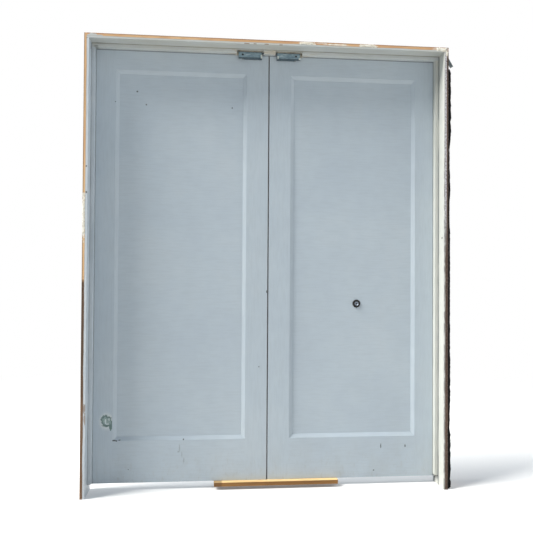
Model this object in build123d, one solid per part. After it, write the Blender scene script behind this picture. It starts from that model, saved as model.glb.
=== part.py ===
from build123d import *
from math import cos, radians, sin
import os

# A pair of painted interior doors hung in their timber frame.
# All sizes are in millimetres. X runs across the opening, Y runs through the wall and Z is up.
# The origin lies on the floor, midway between the side jambs and midway through the frame.
# The stops are on the -Y side of the doors, and the doors swing open towards +Y.

# Door leaves: stiles and rails round one flat panel, alike on both faces
LEAF_WIDTH = 813.0
LEAF_HEIGHT = 2010.0
LEAF_THICKNESS = 35.0
STILE_FACE = 103.0
TOP_RAIL_FACE = 104.0
BOTTOM_RAIL_FACE = 193.0
EDGE_EASE = 1.0

# The bevelled edge that stiles and rails carry round the panel, and the groove that holds it
BEVEL_WIDTH = 16.5
BEVEL_STEP = 1.5
BEVEL_FOOT = 1.0
PANEL_RECESS = 10.0
GROOVE_DEPTH = 12.0
PANEL_SIDE_PLAY = 0.1
PANEL_EDGE_PLAY = 0.8

# Dowels that join the rails to the stiles
DOWEL_DIAMETER = 12.0
DOWEL_LENGTH = 100.0
DOWEL_PLAY = 0.05
TOP_RAIL_DOWELS = 2
TOP_DOWEL_INSET = 28.0
BOTTOM_RAIL_DOWELS = 3
BOTTOM_DOWEL_INSET = 35.0

# Gaps round the leaves
HINGE_GAP = 3.0
MEETING_GAP = 3.0
HEAD_GAP = 3.0
UNDERCUT = 35.0
STOP_GAP = 1.0
TOUCH_GAP = 0.3

# Frame: two side jambs, a head housed between them, and stops
JAMB_THICKNESS = 21.0
JAMB_DEPTH = 140.0
HEAD_THICKNESS = 21.0
HEAD_HOUSING = 10.0
STOP_THICKNESS = 15.0
STOP_DEPTH = 29.0
STOP_ROUND = 2.5
STOP_FOOT = 40.0

# Nails through the side jambs into the ends of the head
CORNER_NAIL_RADIUS = 1.6
CORNER_NAIL_LENGTH = 60.0
CORNER_NAIL_HEAD_RADIUS = 3.6
CORNER_NAIL_HEAD_HEIGHT = 1.2
CORNER_NAIL_PITCH = 50.0
CORNER_NAILS = 3

# Fine nails that hold the stops
BRAD_RADIUS = 0.8
BRAD_LENGTH = 32.0
BRAD_END_INSET = 60.0
SIDE_STOP_BRADS = 6
HEAD_STOP_BRADS = 3
NAIL_PLAY = 0.05

# Butt hinges
HINGE_HEIGHT = 89.0
HINGE_REACH = 38.0
HINGE_SHEET = 2.2
KNUCKLES = 5
KNUCKLE_RADIUS = 5.6
KNUCKLE_GAP = 0.3
KNUCKLE_SWING_GAP = 0.4
PIN_RADIUS = 3.0
PIN_PLAY = 0.05
PIN_OFFSET = 8.0
PIN_HEAD_RADIUS = 4.8
PIN_HEAD_HEIGHT = 4.0
PIN_HEAD_ROUND = 2.0
HINGE_TOP_INSET = 178.0
HINGE_BOTTOM_INSET = 260.0

# Countersunk hinge screws, three to a leaf
SCREW_RADIUS = 2.1
SCREW_HEAD_RADIUS = 4.0
SCREW_HEAD_HEIGHT = 1.9
SCREW_PLAY = 0.05
SCREW_SLOT_WIDTH = 0.9
SCREW_SLOT_DEPTH = 0.7
SCREW_TIP_RADIUS = 0.7
FRAME_SCREW_LENGTH = 17.0
DOOR_SCREW_LENGTH = 30.0
SCREW_END_INSET = 14.0
OUTER_SCREW_SETBACK = 21.0
MIDDLE_SCREW_SETBACK = 10.0

# Magnetic catches under the head, one for each leaf, in notches cut through the head stop
CATCH_LENGTH = 110.0
CATCH_HEIGHT = 38.0
CATCH_DEPTH = 14.0
CATCH_SHEET = 1.5
CATCH_BEND_RADIUS = 1.2
CATCH_CENTRE = 91.0
CATCH_EAR = 26.0
CATCH_NOTCH_GAP = 8.5
MAGNET_HEIGHT = 24.0
MAGNET_SETBACK = 1.2
POLE_THICKNESS = 3.0
POLE_ADJUSTER_GAP = 4.2
ADJUSTER_RADIUS = 2.5
ADJUSTER_HEAD_RADIUS = 4.4
ADJUSTER_HEAD_HEIGHT = 1.8
ADJUSTER_COLLAR_RADIUS = 3.8
ADJUSTER_COLLAR_HEIGHT = 1.6
ADJUSTER_INSET = 20.0
MOUNT_SCREW_RADIUS = 1.8
MOUNT_SCREW_HEAD_RADIUS = 3.4
MOUNT_SCREW_HEAD_HEIGHT = 2.0
MOUNT_SCREW_LENGTH = 16.0
MOUNT_SCREW_INSET = 9.0
STRIKE_END_MARGIN = 10.0
STRIKE_HEIGHT = 25.0
STRIKE_SHEET = 1.5
STRIKE_SCREW_INSET = 5.5
STRIKE_SCREW_LENGTH = 12.0
STRIKE_SCREW_RADIUS = 1.5
STRIKE_SCREW_HEAD_RADIUS = 2.9
STRIKE_SCREW_HEAD_HEIGHT = 1.3

# Round rubber bumper on the right leaf's panel
BUMPER_RADIUS = 19.0
BUMPER_BORE_RADIUS = 11.0
BUMPER_HEIGHT = 5.0
BUMPER_ROUND = 3.0
BUMPER_CUP_HEIGHT = 3.2
BUMPER_CUP_WALL = 1.4
BUMPER_CUP_LIP = 2.2
BUMPER_ABOVE_FLOOR = 860.0
BUMPER_FROM_MEETING = 428.0
BUMPER_SCREW_RADIUS = 1.9
BUMPER_SCREW_HEAD_RADIUS = 3.6
BUMPER_SCREW_HEAD_HEIGHT = 1.5
BUMPER_SCREW_LENGTH = 12.0

# Steel fixing strap nailed aslant outside the right jamb, with its free end folded out
STRAP_SHEET = 1.2
STRAP_WIDTH = 17.0
STRAP_SLANT = 30.0
STRAP_FIXED_LENGTH = 46.0
STRAP_FREE_LENGTH = 49.0
STRAP_BEND_RADIUS = 1.0
STRAP_BEND_BELOW_TOP = 44.0
STRAP_FRONT_INSET = 6.0
STRAP_NAIL_RADIUS = 1.4
STRAP_NAIL_HEAD_RADIUS = 3.2
STRAP_NAIL_HEAD_HEIGHT = 1.0
STRAP_NAIL_LENGTH = 16.0
STRAP_NAIL_PLACES = (14.0, 35.0)

# Timber batten nailed under the right leaf, which also reaches under the left one
BATTEN_LEFT = 247.0
BATTEN_RIGHT = 334.0
BATTEN_FRONT = 28.0
BATTEN_DEPTH = 64.0
BATTEN_THICKNESS = 19.0
BATTEN_NAIL_RADIUS = 1.4
BATTEN_NAIL_HEAD_RADIUS = 3.2
BATTEN_NAIL_HEAD_HEIGHT = 1.0
BATTEN_NAIL_LENGTH = 45.0
BATTEN_NAIL_PLACES = (200.0, 300.0)

# Places worked out from the sizes above
OPEN_HALF = LEAF_WIDTH + HINGE_GAP + MEETING_GAP / 2
FRONT_Y = -JAMB_DEPTH / 2
BACK_Y = JAMB_DEPTH / 2
FACE_Y = BACK_Y - LEAF_THICKNESS
STOP_BACK_Y = FACE_Y - STOP_GAP
STOP_FRONT_Y = STOP_BACK_Y - STOP_DEPTH
LEAF_BOTTOM_Z = UNDERCUT
LEAF_TOP_Z = UNDERCUT + LEAF_HEIGHT
HEAD_Z = LEAF_TOP_Z + HEAD_GAP
FRAME_TOP_Z = HEAD_Z + HEAD_THICKNESS
STOP_TOP_Z = HEAD_Z - STOP_THICKNESS
HINGE_EDGE_X = -OPEN_HALF + HINGE_GAP
PIN_X = -OPEN_HALF + HINGE_GAP / 2
PIN_Y = BACK_Y + PIN_OFFSET
PANEL_MID_Y = FACE_Y + LEAF_THICKNESS / 2
HINGE_LEVELS = {
    "top": LEAF_TOP_Z - HINGE_TOP_INSET - HINGE_HEIGHT,
    "bottom": LEAF_BOTTOM_Z + HINGE_BOTTOM_INSET,
}
HINGE_LEVELS["middle"] = (HINGE_LEVELS["top"] + HINGE_LEVELS["bottom"]) / 2
CATCH_BACK_Y = FACE_Y - STRIKE_SHEET - TOUCH_GAP
CATCH_FRONT_Y = CATCH_BACK_Y - CATCH_DEPTH
CATCH_BOTTOM_Z = HEAD_Z - CATCH_HEIGHT
MAGNET_BOTTOM_Z = CATCH_BOTTOM_Z + CATCH_SHEET
NOTCH_HALF = CATCH_LENGTH / 2 + CATCH_NOTCH_GAP
POLE_OUTER_HALF = CATCH_LENGTH / 2 - ADJUSTER_INSET - ADJUSTER_COLLAR_RADIUS - POLE_ADJUSTER_GAP
MAGNET_HALF = POLE_OUTER_HALF - POLE_THICKNESS
STRIKE_HALF = POLE_OUTER_HALF + STRIKE_END_MARGIN


def block(x0, x1, y0, y1, z0, z1):
    """A box given by its two corners."""
    centre = Pos((x0 + x1) / 2, (y0 + y1) / 2, (z0 + z1) / 2)
    return centre * Box(x1 - x0, y1 - y0, z1 - z0)


def rod(radius, start, end):
    """A round bar from one point to another along X, Y or Z."""
    axis = Vector(*end) - Vector(*start)
    plane = Plane(origin=start, z_dir=axis)
    return extrude(plane * Circle(radius), axis.length)


def cone(radius_start, radius_end, start, end):
    """A round taper from one point to another."""
    axis = Vector(*end) - Vector(*start)
    plane = Plane(origin=start, z_dir=axis)
    middle = plane * Pos(0, 0, axis.length / 2)
    return middle * Cone(radius_start, radius_end, axis.length)


def moved(point, way, distance):
    """The point that lies a distance from another, along a unit direction."""
    return tuple(p + w * distance for p, w in zip(point, way))


def mirrored(shape):
    """The same piece on the other side of the opening."""
    return mirror(shape, about=Plane.YZ)


def spread(low, high, count):
    """Evenly spaced places from low to high, both included."""
    if count == 1:
        return [(low + high) / 2]
    return [low + (high - low) * i / (count - 1) for i in range(count)]


# Leaves

def member_outline(face_width):
    """Half outline of a stile or rail: distance from its outer edge, then depth from its face."""
    inner = face_width + BEVEL_WIDTH
    return [
        (0, EDGE_EASE),
        (EDGE_EASE, 0),
        (face_width, 0),
        (face_width, BEVEL_STEP),
        (inner, PANEL_RECESS - BEVEL_FOOT),
        (inner, PANEL_RECESS),
        (inner - GROOVE_DEPTH, PANEL_RECESS),
    ]


def member_section(face_width):
    """Full closed outline, from the front face to the back face."""
    front = [(u, FACE_Y + d) for u, d in member_outline(face_width)]
    back = [(u, BACK_Y - d) for u, d in reversed(member_outline(face_width))]
    return front + back


def stile_bar():
    """A plain stile whose outer edge is at the hinge edge of the left leaf."""
    points = [(HINGE_EDGE_X + u, y) for u, y in member_section(STILE_FACE)]
    outline = make_face(Polyline(*points, close=True))
    return Pos(0, 0, LEAF_BOTTOM_Z) * extrude(outline, LEAF_HEIGHT)


def rail_bar(face_width, edge_z, inward):
    """A plain rail with its outer edge at edge_z, wide enough to be scribed over both stiles."""
    points = [(y, edge_z + inward * u) for u, y in member_section(face_width)]
    start = HINGE_EDGE_X + STILE_FACE
    plane = Plane(origin=(start, 0, 0), x_dir=(0, 1, 0), z_dir=(1, 0, 0))
    outline = plane * make_face(Polyline(*points, close=True))
    return extrude(outline, LEAF_WIDTH - 2 * STILE_FACE)


def leaf_mirrored(shape):
    """The same piece at the meeting edge of the left leaf."""
    middle = HINGE_EDGE_X + LEAF_WIDTH / 2
    return mirror(shape, about=Plane.YZ.offset(middle))


def dowel_levels():
    """Heights of the dowels in the top rail and in the bottom rail."""
    top = spread(
        LEAF_TOP_Z - TOP_DOWEL_INSET,
        LEAF_TOP_Z - TOP_RAIL_FACE + TOP_DOWEL_INSET,
        TOP_RAIL_DOWELS,
    )
    bottom = spread(
        LEAF_BOTTOM_Z + BOTTOM_DOWEL_INSET,
        LEAF_BOTTOM_Z + BOTTOM_RAIL_FACE - BOTTOM_DOWEL_INSET,
        BOTTOM_RAIL_DOWELS,
    )
    return top + bottom


def dowel_set(radius, length):
    """One bar across each joint between the hinge stile and the rails."""
    joint_x = HINGE_EDGE_X + STILE_FACE + BEVEL_WIDTH
    bars = []
    for z in dowel_levels():
        start = (joint_x - length / 2, PANEL_MID_Y, z)
        end = (joint_x + length / 2, PANEL_MID_Y, z)
        bars.append(rod(radius, start, end))
    return bars


def screw_spots(level):
    """Where the three screws of a hinge leaf go: setback from the back face, then height."""
    low = level + SCREW_END_INSET
    high = level + HINGE_HEIGHT - SCREW_END_INSET
    return [
        (OUTER_SCREW_SETBACK, low),
        (MIDDLE_SCREW_SETBACK, (low + high) / 2),
        (OUTER_SCREW_SETBACK, high),
    ]


def countersunk_screw(tip, length, radius, head_radius, head_height):
    """A slotted countersunk screw: tip is the middle of its head's face and the way it is driven."""
    face, way = tip
    neck = moved(face, way, head_height)
    taper = moved(face, way, length - radius)
    head = cone(head_radius, radius, face, neck)
    point = cone(radius, SCREW_TIP_RADIUS, taper, moved(face, way, length))
    slot = Plane(origin=face, z_dir=way) * Box(
        2 * (head_radius + SCREW_PLAY), SCREW_SLOT_WIDTH, 2 * SCREW_SLOT_DEPTH
    )
    return head + rod(radius, neck, taper) + point - slot


def screw_hole(tip, length, radius, head_radius, head_height):
    """The hole that a countersunk screw sits in."""
    face, way = tip
    neck = moved(face, way, head_height)
    head = cone(head_radius + SCREW_PLAY, radius + SCREW_PLAY, face, neck)
    return head + rod(radius + SCREW_PLAY, neck, moved(face, way, length + SCREW_PLAY))


def hinge_screw_tips(level, side):
    """Face points and directions of a hinge leaf's screws; side is -1 in the jamb and 1 in the leaf."""
    x = PIN_X + side * HINGE_GAP / 2
    return [((x, BACK_Y - setback, z), (side, 0, 0)) for setback, z in screw_spots(level)]


def hinge_screws(side, length):
    """The nine screws that hold three hinge leaves on one side."""
    tips = [tip for level in HINGE_LEVELS.values() for tip in hinge_screw_tips(level, side)]
    size = (length, SCREW_RADIUS, SCREW_HEAD_RADIUS, SCREW_HEAD_HEIGHT)
    return [countersunk_screw(tip, *size) for tip in tips]


def hinge_cuts(side, length):
    """Mortises and screw holes that three hinge leaves need in the wood on one side."""
    face = PIN_X + side * HINGE_GAP / 2
    deep = face + side * HINGE_SHEET
    size = (length, SCREW_RADIUS, SCREW_HEAD_RADIUS, SCREW_HEAD_HEIGHT)
    cuts = []
    for level in HINGE_LEVELS.values():
        top = level + HINGE_HEIGHT
        edge = PIN_Y - HINGE_REACH
        cuts.append(block(min(face, deep), max(face, deep), edge, BACK_Y, level, top))
        cuts += [screw_hole(tip, *size) for tip in hinge_screw_tips(level, side)]
    return cuts


def strike_tips():
    """Screw places on the left leaf's strike plate, one above the other between the pole plates."""
    reach = STRIKE_HEIGHT / 2 - STRIKE_SCREW_INSET
    middle = MAGNET_BOTTOM_Z + MAGNET_HEIGHT / 2
    y = FACE_Y - STRIKE_SHEET
    return [((-CATCH_CENTRE, y, middle + side * reach), (0, 1, 0)) for side in (-1, 1)]


STRIKE_SCREW = (
    STRIKE_SCREW_LENGTH,
    STRIKE_SCREW_RADIUS,
    STRIKE_SCREW_HEAD_RADIUS,
    STRIKE_SCREW_HEAD_HEIGHT,
)


def strike_plate():
    """Steel plate on the leaf that the magnet holds."""
    left, right = -CATCH_CENTRE - STRIKE_HALF, -CATCH_CENTRE + STRIKE_HALF
    middle = MAGNET_BOTTOM_Z + MAGNET_HEIGHT / 2
    low, high = middle - STRIKE_HEIGHT / 2, middle + STRIKE_HEIGHT / 2
    plate = block(left, right, FACE_Y - STRIKE_SHEET, FACE_Y, low, high)
    for tip in strike_tips():
        plate -= screw_hole(tip, *STRIKE_SCREW)
    return plate


def make_leaf():
    """Pieces of the left leaf by name."""
    bar = stile_bar()
    other_bar = leaf_mirrored(bar)
    holes = dowel_set(DOWEL_DIAMETER / 2 + DOWEL_PLAY, DOWEL_LENGTH + 2 * DOWEL_PLAY)
    dowels = dowel_set(DOWEL_DIAMETER / 2, DOWEL_LENGTH)
    both_holes = holes + [leaf_mirrored(h) for h in holes]

    strike_holes = [screw_hole(tip, *STRIKE_SCREW) for tip in strike_tips()]
    hinge_stile = bar - holes - hinge_cuts(1, DOOR_SCREW_LENGTH)
    meeting_stile = other_bar - [leaf_mirrored(h) for h in holes] - strike_holes

    top_rail = rail_bar(TOP_RAIL_FACE, LEAF_TOP_Z, -1) - bar - other_bar - both_holes
    bottom_rail = rail_bar(BOTTOM_RAIL_FACE, LEAF_BOTTOM_Z, 1) - bar - other_bar - both_holes

    sight = BEVEL_WIDTH - GROOVE_DEPTH + PANEL_EDGE_PLAY
    panel = block(
        HINGE_EDGE_X + STILE_FACE + sight,
        HINGE_EDGE_X + LEAF_WIDTH - STILE_FACE - sight,
        FACE_Y + PANEL_RECESS + PANEL_SIDE_PLAY,
        BACK_Y - PANEL_RECESS - PANEL_SIDE_PLAY,
        LEAF_BOTTOM_Z + BOTTOM_RAIL_FACE + sight,
        LEAF_TOP_Z - TOP_RAIL_FACE - sight,
    )
    strike_screws = [countersunk_screw(tip, *STRIKE_SCREW) for tip in strike_tips()]
    pieces = {
        "hinge_stile": hinge_stile,
        "meeting_stile": meeting_stile,
        "top_rail": top_rail,
        "bottom_rail": bottom_rail,
        "panel": panel,
        "dowels": dowels + [leaf_mirrored(d) for d in dowels],
        "strike_plate": strike_plate(),
        "strike_screws": strike_screws,
        "door_hinge_screws": hinge_screws(1, DOOR_SCREW_LENGTH),
    }
    for name, level in HINGE_LEVELS.items():
        pieces[f"{name}_hinge_door_leaf"] = hinge_leaf(level, 1)
    return pieces


# Hinges

def hinge_leaf(level, side):
    """One leaf of a butt hinge; side is -1 for the jamb's leaf and 1 for the door's."""
    face = PIN_X + side * HINGE_GAP / 2
    deep = face + side * HINGE_SHEET
    top = level + HINGE_HEIGHT
    pitch = HINGE_HEIGHT / KNUCKLES
    own = 0 if side < 0 else 1
    leaf = block(min(face, deep), max(face, deep), PIN_Y - HINGE_REACH, PIN_Y, level, top)
    for i in range(KNUCKLES):
        low, high = level + i * pitch, level + (i + 1) * pitch
        if i % 2 == own:
            low = low if i == 0 else low + KNUCKLE_GAP / 2
            high = high if i == KNUCKLES - 1 else high - KNUCKLE_GAP / 2
            leaf += rod(KNUCKLE_RADIUS, (PIN_X, PIN_Y, low), (PIN_X, PIN_Y, high))
        else:
            low, high = low - KNUCKLE_GAP / 2, high + KNUCKLE_GAP / 2
            swing = KNUCKLE_RADIUS + KNUCKLE_SWING_GAP
            leaf -= rod(swing, (PIN_X, PIN_Y, low), (PIN_X, PIN_Y, high))
    leaf -= rod(PIN_RADIUS + PIN_PLAY, (PIN_X, PIN_Y, level), (PIN_X, PIN_Y, top))
    size = (HINGE_SHEET, SCREW_RADIUS, SCREW_HEAD_RADIUS, SCREW_HEAD_HEIGHT)
    for tip in hinge_screw_tips(level, side):
        leaf -= screw_hole(tip, *size)
    return leaf


def hinge_pin(level):
    """Loose pin with a round head, dropped in from above."""
    top = level + HINGE_HEIGHT
    shaft = rod(PIN_RADIUS, (PIN_X, PIN_Y, level), (PIN_X, PIN_Y, top))
    head = rod(PIN_HEAD_RADIUS, (PIN_X, PIN_Y, top), (PIN_X, PIN_Y, top + PIN_HEAD_HEIGHT))
    head = fillet(head.edges().group_by(Axis.Z)[-1], PIN_HEAD_ROUND)
    return shaft + head


# Frame

def corner_nail_places():
    """How far from the frame's middle depth each nail into the head goes."""
    places = [CORNER_NAIL_PITCH * i for i in range(CORNER_NAILS)]
    middle = (places[0] + places[-1]) / 2
    return [y - middle for y in places]


def corner_nail(y, play):
    """A nail through the left jamb into the head; play enlarges it into its hole."""
    outer = -OPEN_HALF - JAMB_THICKNESS
    z = HEAD_Z + HEAD_THICKNESS / 2
    head_end = outer + CORNER_NAIL_HEAD_HEIGHT
    head = rod(CORNER_NAIL_HEAD_RADIUS + play, (outer, y, z), (head_end, y, z))
    shank_end = outer + CORNER_NAIL_LENGTH + play
    return head + rod(CORNER_NAIL_RADIUS + play, (head_end, y, z), (shank_end, y, z))


def side_brad(z, play):
    """A fine nail through the left stop into the left jamb."""
    y = (STOP_FRONT_Y + STOP_BACK_Y) / 2
    start = -OPEN_HALF + STOP_THICKNESS
    return rod(BRAD_RADIUS + play, (start, y, z), (start - BRAD_LENGTH - play, y, z))


def head_brad(x, play):
    """A fine nail up through the head stop into the head."""
    y = (STOP_FRONT_Y + STOP_BACK_Y) / 2
    return rod(BRAD_RADIUS + play, (x, y, STOP_TOP_Z), (x, y, STOP_TOP_Z + BRAD_LENGTH + play))


def side_brad_levels():
    return spread(STOP_FOOT + BRAD_END_INSET, STOP_TOP_Z - BRAD_END_INSET, SIDE_STOP_BRADS)


def head_brad_places():
    """Nail places along the left length of the head stop."""
    low = -OPEN_HALF + BRAD_END_INSET
    high = -CATCH_CENTRE - NOTCH_HALF - BRAD_END_INSET
    return spread(low, high, HEAD_STOP_BRADS)


def make_jamb():
    """Left side jamb, with the housing for the head, the hinge mortises and its nail holes."""
    jamb = block(-OPEN_HALF - JAMB_THICKNESS, -OPEN_HALF, FRONT_Y, BACK_Y, 0, FRAME_TOP_Z)
    jamb -= block(-OPEN_HALF - HEAD_HOUSING, -OPEN_HALF, FRONT_Y, BACK_Y, HEAD_Z, FRAME_TOP_Z)
    nails = [corner_nail(y, NAIL_PLAY) for y in corner_nail_places()]
    brads = [side_brad(z, NAIL_PLAY) for z in side_brad_levels()]
    return jamb - nails - brads - hinge_cuts(-1, FRAME_SCREW_LENGTH)


def make_head():
    """Head jamb between the side jambs."""
    reach = OPEN_HALF + HEAD_HOUSING
    head = block(-reach, reach, FRONT_Y, BACK_Y, HEAD_Z, FRAME_TOP_Z)
    nails = [corner_nail(y, NAIL_PLAY) for y in corner_nail_places()]
    brads = [head_brad(x, NAIL_PLAY) for x in head_brad_places()]
    mount_holes = [catch_mount_screw(x, SCREW_PLAY) for x in catch_mount_places()]
    cuts = nails + brads + mount_holes
    return head - cuts - [mirrored(c) for c in cuts] - head_brad(0, NAIL_PLAY)


def rounded_stop(stop, axis):
    """Eases the two long arrises of a stop that show in the opening."""
    if axis is Axis.Z:
        shown = stop.edges().filter_by(Axis.Z).group_by(Axis.X)[-1]
    else:
        shown = stop.edges().filter_by(Axis.X).group_by(Axis.Z)[0]
    return fillet(shown, STOP_ROUND)


def make_side_stop():
    stop = block(
        -OPEN_HALF, -OPEN_HALF + STOP_THICKNESS, STOP_FRONT_Y, STOP_BACK_Y, STOP_FOOT, STOP_TOP_Z
    )
    stop = rounded_stop(stop, Axis.Z)
    return stop - [side_brad(z, NAIL_PLAY) for z in side_brad_levels()]


def make_head_stop(x0, x1, brads):
    """A length of the head stop from x0 to x1."""
    stop = block(x0, x1, STOP_FRONT_Y, STOP_BACK_Y, STOP_TOP_Z, HEAD_Z)
    stop = rounded_stop(stop, Axis.X)
    return stop - [head_brad(x, NAIL_PLAY) for x in brads]


# Catches

def catch_mount_places():
    """Where the left catch is screwed up into the head."""
    reach = CATCH_LENGTH / 2 - MOUNT_SCREW_INSET
    return [-CATCH_CENTRE - reach, -CATCH_CENTRE + reach]


def catch_mount_screw(x, play):
    """A round-headed screw up through the catch's top flange; play enlarges it into its hole."""
    y = (CATCH_FRONT_Y + CATCH_SHEET + CATCH_BACK_Y) / 2
    under = HEAD_Z - CATCH_SHEET
    head = rod(MOUNT_SCREW_HEAD_RADIUS, (x, y, under - MOUNT_SCREW_HEAD_HEIGHT), (x, y, under))
    end = under + MOUNT_SCREW_LENGTH + play
    shank = rod(MOUNT_SCREW_RADIUS + play, (x, y, under), (x, y, end))
    return shank if play else head + shank


def adjuster_x():
    return -CATCH_CENTRE - CATCH_LENGTH / 2 + ADJUSTER_INSET


def make_catch_housing():
    """Folded steel housing of the left catch, open towards the leaf, with a flat ear at its outer end."""
    left = -CATCH_CENTRE - CATCH_LENGTH / 2
    right = -CATCH_CENTRE + CATCH_LENGTH / 2
    shell = block(left, right, CATCH_FRONT_Y, CATCH_BACK_Y, CATCH_BOTTOM_Z, HEAD_Z)
    long_edges = shell.edges().filter_by(Axis.X).group_by(Axis.Y)[0]
    shell = fillet(long_edges.sort_by(Axis.Z)[0], CATCH_BEND_RADIUS)
    shell -= block(
        left,
        right - CATCH_SHEET,
        CATCH_FRONT_Y + CATCH_SHEET,
        CATCH_BACK_Y,
        CATCH_BOTTOM_Z + CATCH_SHEET,
        HEAD_Z - CATCH_SHEET,
    )
    ear_bottom = CATCH_BOTTOM_Z + CATCH_SHEET + CATCH_BEND_RADIUS
    shell -= block(
        left, left + CATCH_EAR, CATCH_FRONT_Y + CATCH_SHEET, CATCH_BACK_Y, CATCH_BOTTOM_Z, ear_bottom
    )
    z = (CATCH_BOTTOM_Z + HEAD_Z) / 2
    back = CATCH_FRONT_Y + CATCH_SHEET
    shell -= rod(ADJUSTER_RADIUS + SCREW_PLAY, (adjuster_x(), CATCH_FRONT_Y, z), (adjuster_x(), back, z))
    return shell - [catch_mount_screw(x, SCREW_PLAY) for x in catch_mount_places()]


def make_adjuster():
    """Captive screw in the ear: a head in front of the sheet and a collar behind it."""
    x, z = adjuster_x(), (CATCH_BOTTOM_Z + HEAD_Z) / 2
    back = CATCH_FRONT_Y + CATCH_SHEET
    front = CATCH_FRONT_Y - ADJUSTER_HEAD_HEIGHT
    head = rod(ADJUSTER_HEAD_RADIUS, (x, front, z), (x, CATCH_FRONT_Y, z))
    slot = block(
        x - ADJUSTER_HEAD_RADIUS,
        x + ADJUSTER_HEAD_RADIUS,
        front,
        front + SCREW_SLOT_DEPTH,
        z - SCREW_SLOT_WIDTH / 2,
        z + SCREW_SLOT_WIDTH / 2,
    )
    shank = rod(ADJUSTER_RADIUS, (x, CATCH_FRONT_Y, z), (x, back, z))
    collar = rod(ADJUSTER_COLLAR_RADIUS, (x, back, z), (x, back + ADJUSTER_COLLAR_HEIGHT, z))
    return head - slot + shank + collar


def make_magnet():
    """Block magnet that stands on the housing's bottom flange."""
    left, right = -CATCH_CENTRE - MAGNET_HALF, -CATCH_CENTRE + MAGNET_HALF
    front, back = CATCH_FRONT_Y + CATCH_SHEET, CATCH_BACK_Y - MAGNET_SETBACK
    return block(left, right, front, back, MAGNET_BOTTOM_Z, MAGNET_BOTTOM_Z + MAGNET_HEIGHT)


def make_pole_plates():
    """Two steel plates at the magnet's ends, which reach the strike plate."""
    left = -CATCH_CENTRE - POLE_OUTER_HALF
    top = MAGNET_BOTTOM_Z + MAGNET_HEIGHT
    front = CATCH_FRONT_Y + CATCH_SHEET
    plate = block(left, left + POLE_THICKNESS, front, CATCH_BACK_Y, MAGNET_BOTTOM_Z, top)
    return [plate, Pos(2 * MAGNET_HALF + POLE_THICKNESS, 0, 0) * plate]


# Bumper

def bumper_centre():
    """The bumper's place on the right leaf's panel."""
    return BUMPER_FROM_MEETING, FACE_Y + PANEL_RECESS + PANEL_SIDE_PLAY, BUMPER_ABOVE_FLOOR


def turned(points):
    """A turned piece on the bumper's axis from its half outline: radius, then height off the panel."""
    x, y, z = bumper_centre()
    plane = Plane(origin=(x, y, z), x_dir=(1, 0, 0), z_dir=(0, 0, 1))
    outline = plane * make_face(Polyline(*[(r, -h) for r, h in points], close=True))
    return revolve(outline, Axis((x, y, z), (0, 1, 0)))


def make_bumper_ring():
    """Rubber ring with a rounded face."""
    x, y, z = bumper_centre()
    ring = rod(BUMPER_RADIUS, (x, y, z), (x, y - BUMPER_HEIGHT, z))
    ring = fillet(ring.edges().group_by(Axis.Y)[0], BUMPER_ROUND)
    return ring - rod(BUMPER_BORE_RADIUS, (x, y, z), (x, y - BUMPER_HEIGHT, z))


def make_bumper_cup():
    """Shallow metal cup inside the ring, with a hole for its screw."""
    rim = BUMPER_BORE_RADIUS - SCREW_PLAY
    hole = BUMPER_SCREW_RADIUS + SCREW_PLAY
    return turned(
        [
            (hole, 0),
            (rim, 0),
            (rim, BUMPER_CUP_HEIGHT),
            (rim - BUMPER_CUP_WALL, BUMPER_CUP_HEIGHT),
            (rim - BUMPER_CUP_WALL - BUMPER_CUP_LIP, BUMPER_CUP_WALL),
            (hole, BUMPER_CUP_WALL),
        ]
    )


def bumper_screw(play):
    """Round-headed screw into the panel; play enlarges its shank into its hole."""
    x, y, z = bumper_centre()
    neck = y - BUMPER_CUP_WALL
    end = y - BUMPER_CUP_WALL + BUMPER_SCREW_LENGTH + play
    shank = rod(BUMPER_SCREW_RADIUS + play, (x, neck, z), (x, end, z))
    if play:
        return shank
    head = rod(BUMPER_SCREW_HEAD_RADIUS, (x, neck - BUMPER_SCREW_HEAD_HEIGHT, z), (x, neck, z))
    slot = block(
        x - BUMPER_SCREW_HEAD_RADIUS,
        x + BUMPER_SCREW_HEAD_RADIUS,
        neck - BUMPER_SCREW_HEAD_HEIGHT,
        neck - BUMPER_SCREW_HEAD_HEIGHT + SCREW_SLOT_DEPTH,
        z - SCREW_SLOT_WIDTH / 2,
        z + SCREW_SLOT_WIDTH / 2,
    )
    return head - slot + shank


# Strap and batten

def strap_outlines():
    """Outlines of the fixed and the free length: distance from the bend line, then height."""
    angle = radians(STRAP_SLANT)
    top = FRAME_TOP_Z - STRAP_BEND_BELOW_TOP
    bottom = top - STRAP_WIDTH / sin(angle)
    fixed_end = (STRAP_FIXED_LENGTH * sin(angle), top + STRAP_FIXED_LENGTH * cos(angle))
    fixed_tip = (fixed_end[0] + STRAP_WIDTH * cos(angle), fixed_end[1] - STRAP_WIDTH * sin(angle))
    free_end = (STRAP_FREE_LENGTH * sin(angle), top - STRAP_FREE_LENGTH * cos(angle))
    free_tip = (free_end[0] - STRAP_WIDTH * cos(angle), free_end[1] - STRAP_WIDTH * sin(angle))
    fixed = [(0, top), fixed_end, fixed_tip, (0, bottom)]
    free = [(0, top), free_end, free_tip, (0, bottom)]
    return fixed, free


def strap_bend():
    """Where the bend line stands: the right jamb's outer face, and the strap's front."""
    return OPEN_HALF + JAMB_THICKNESS, FRONT_Y + STRAP_FRONT_INSET


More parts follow.
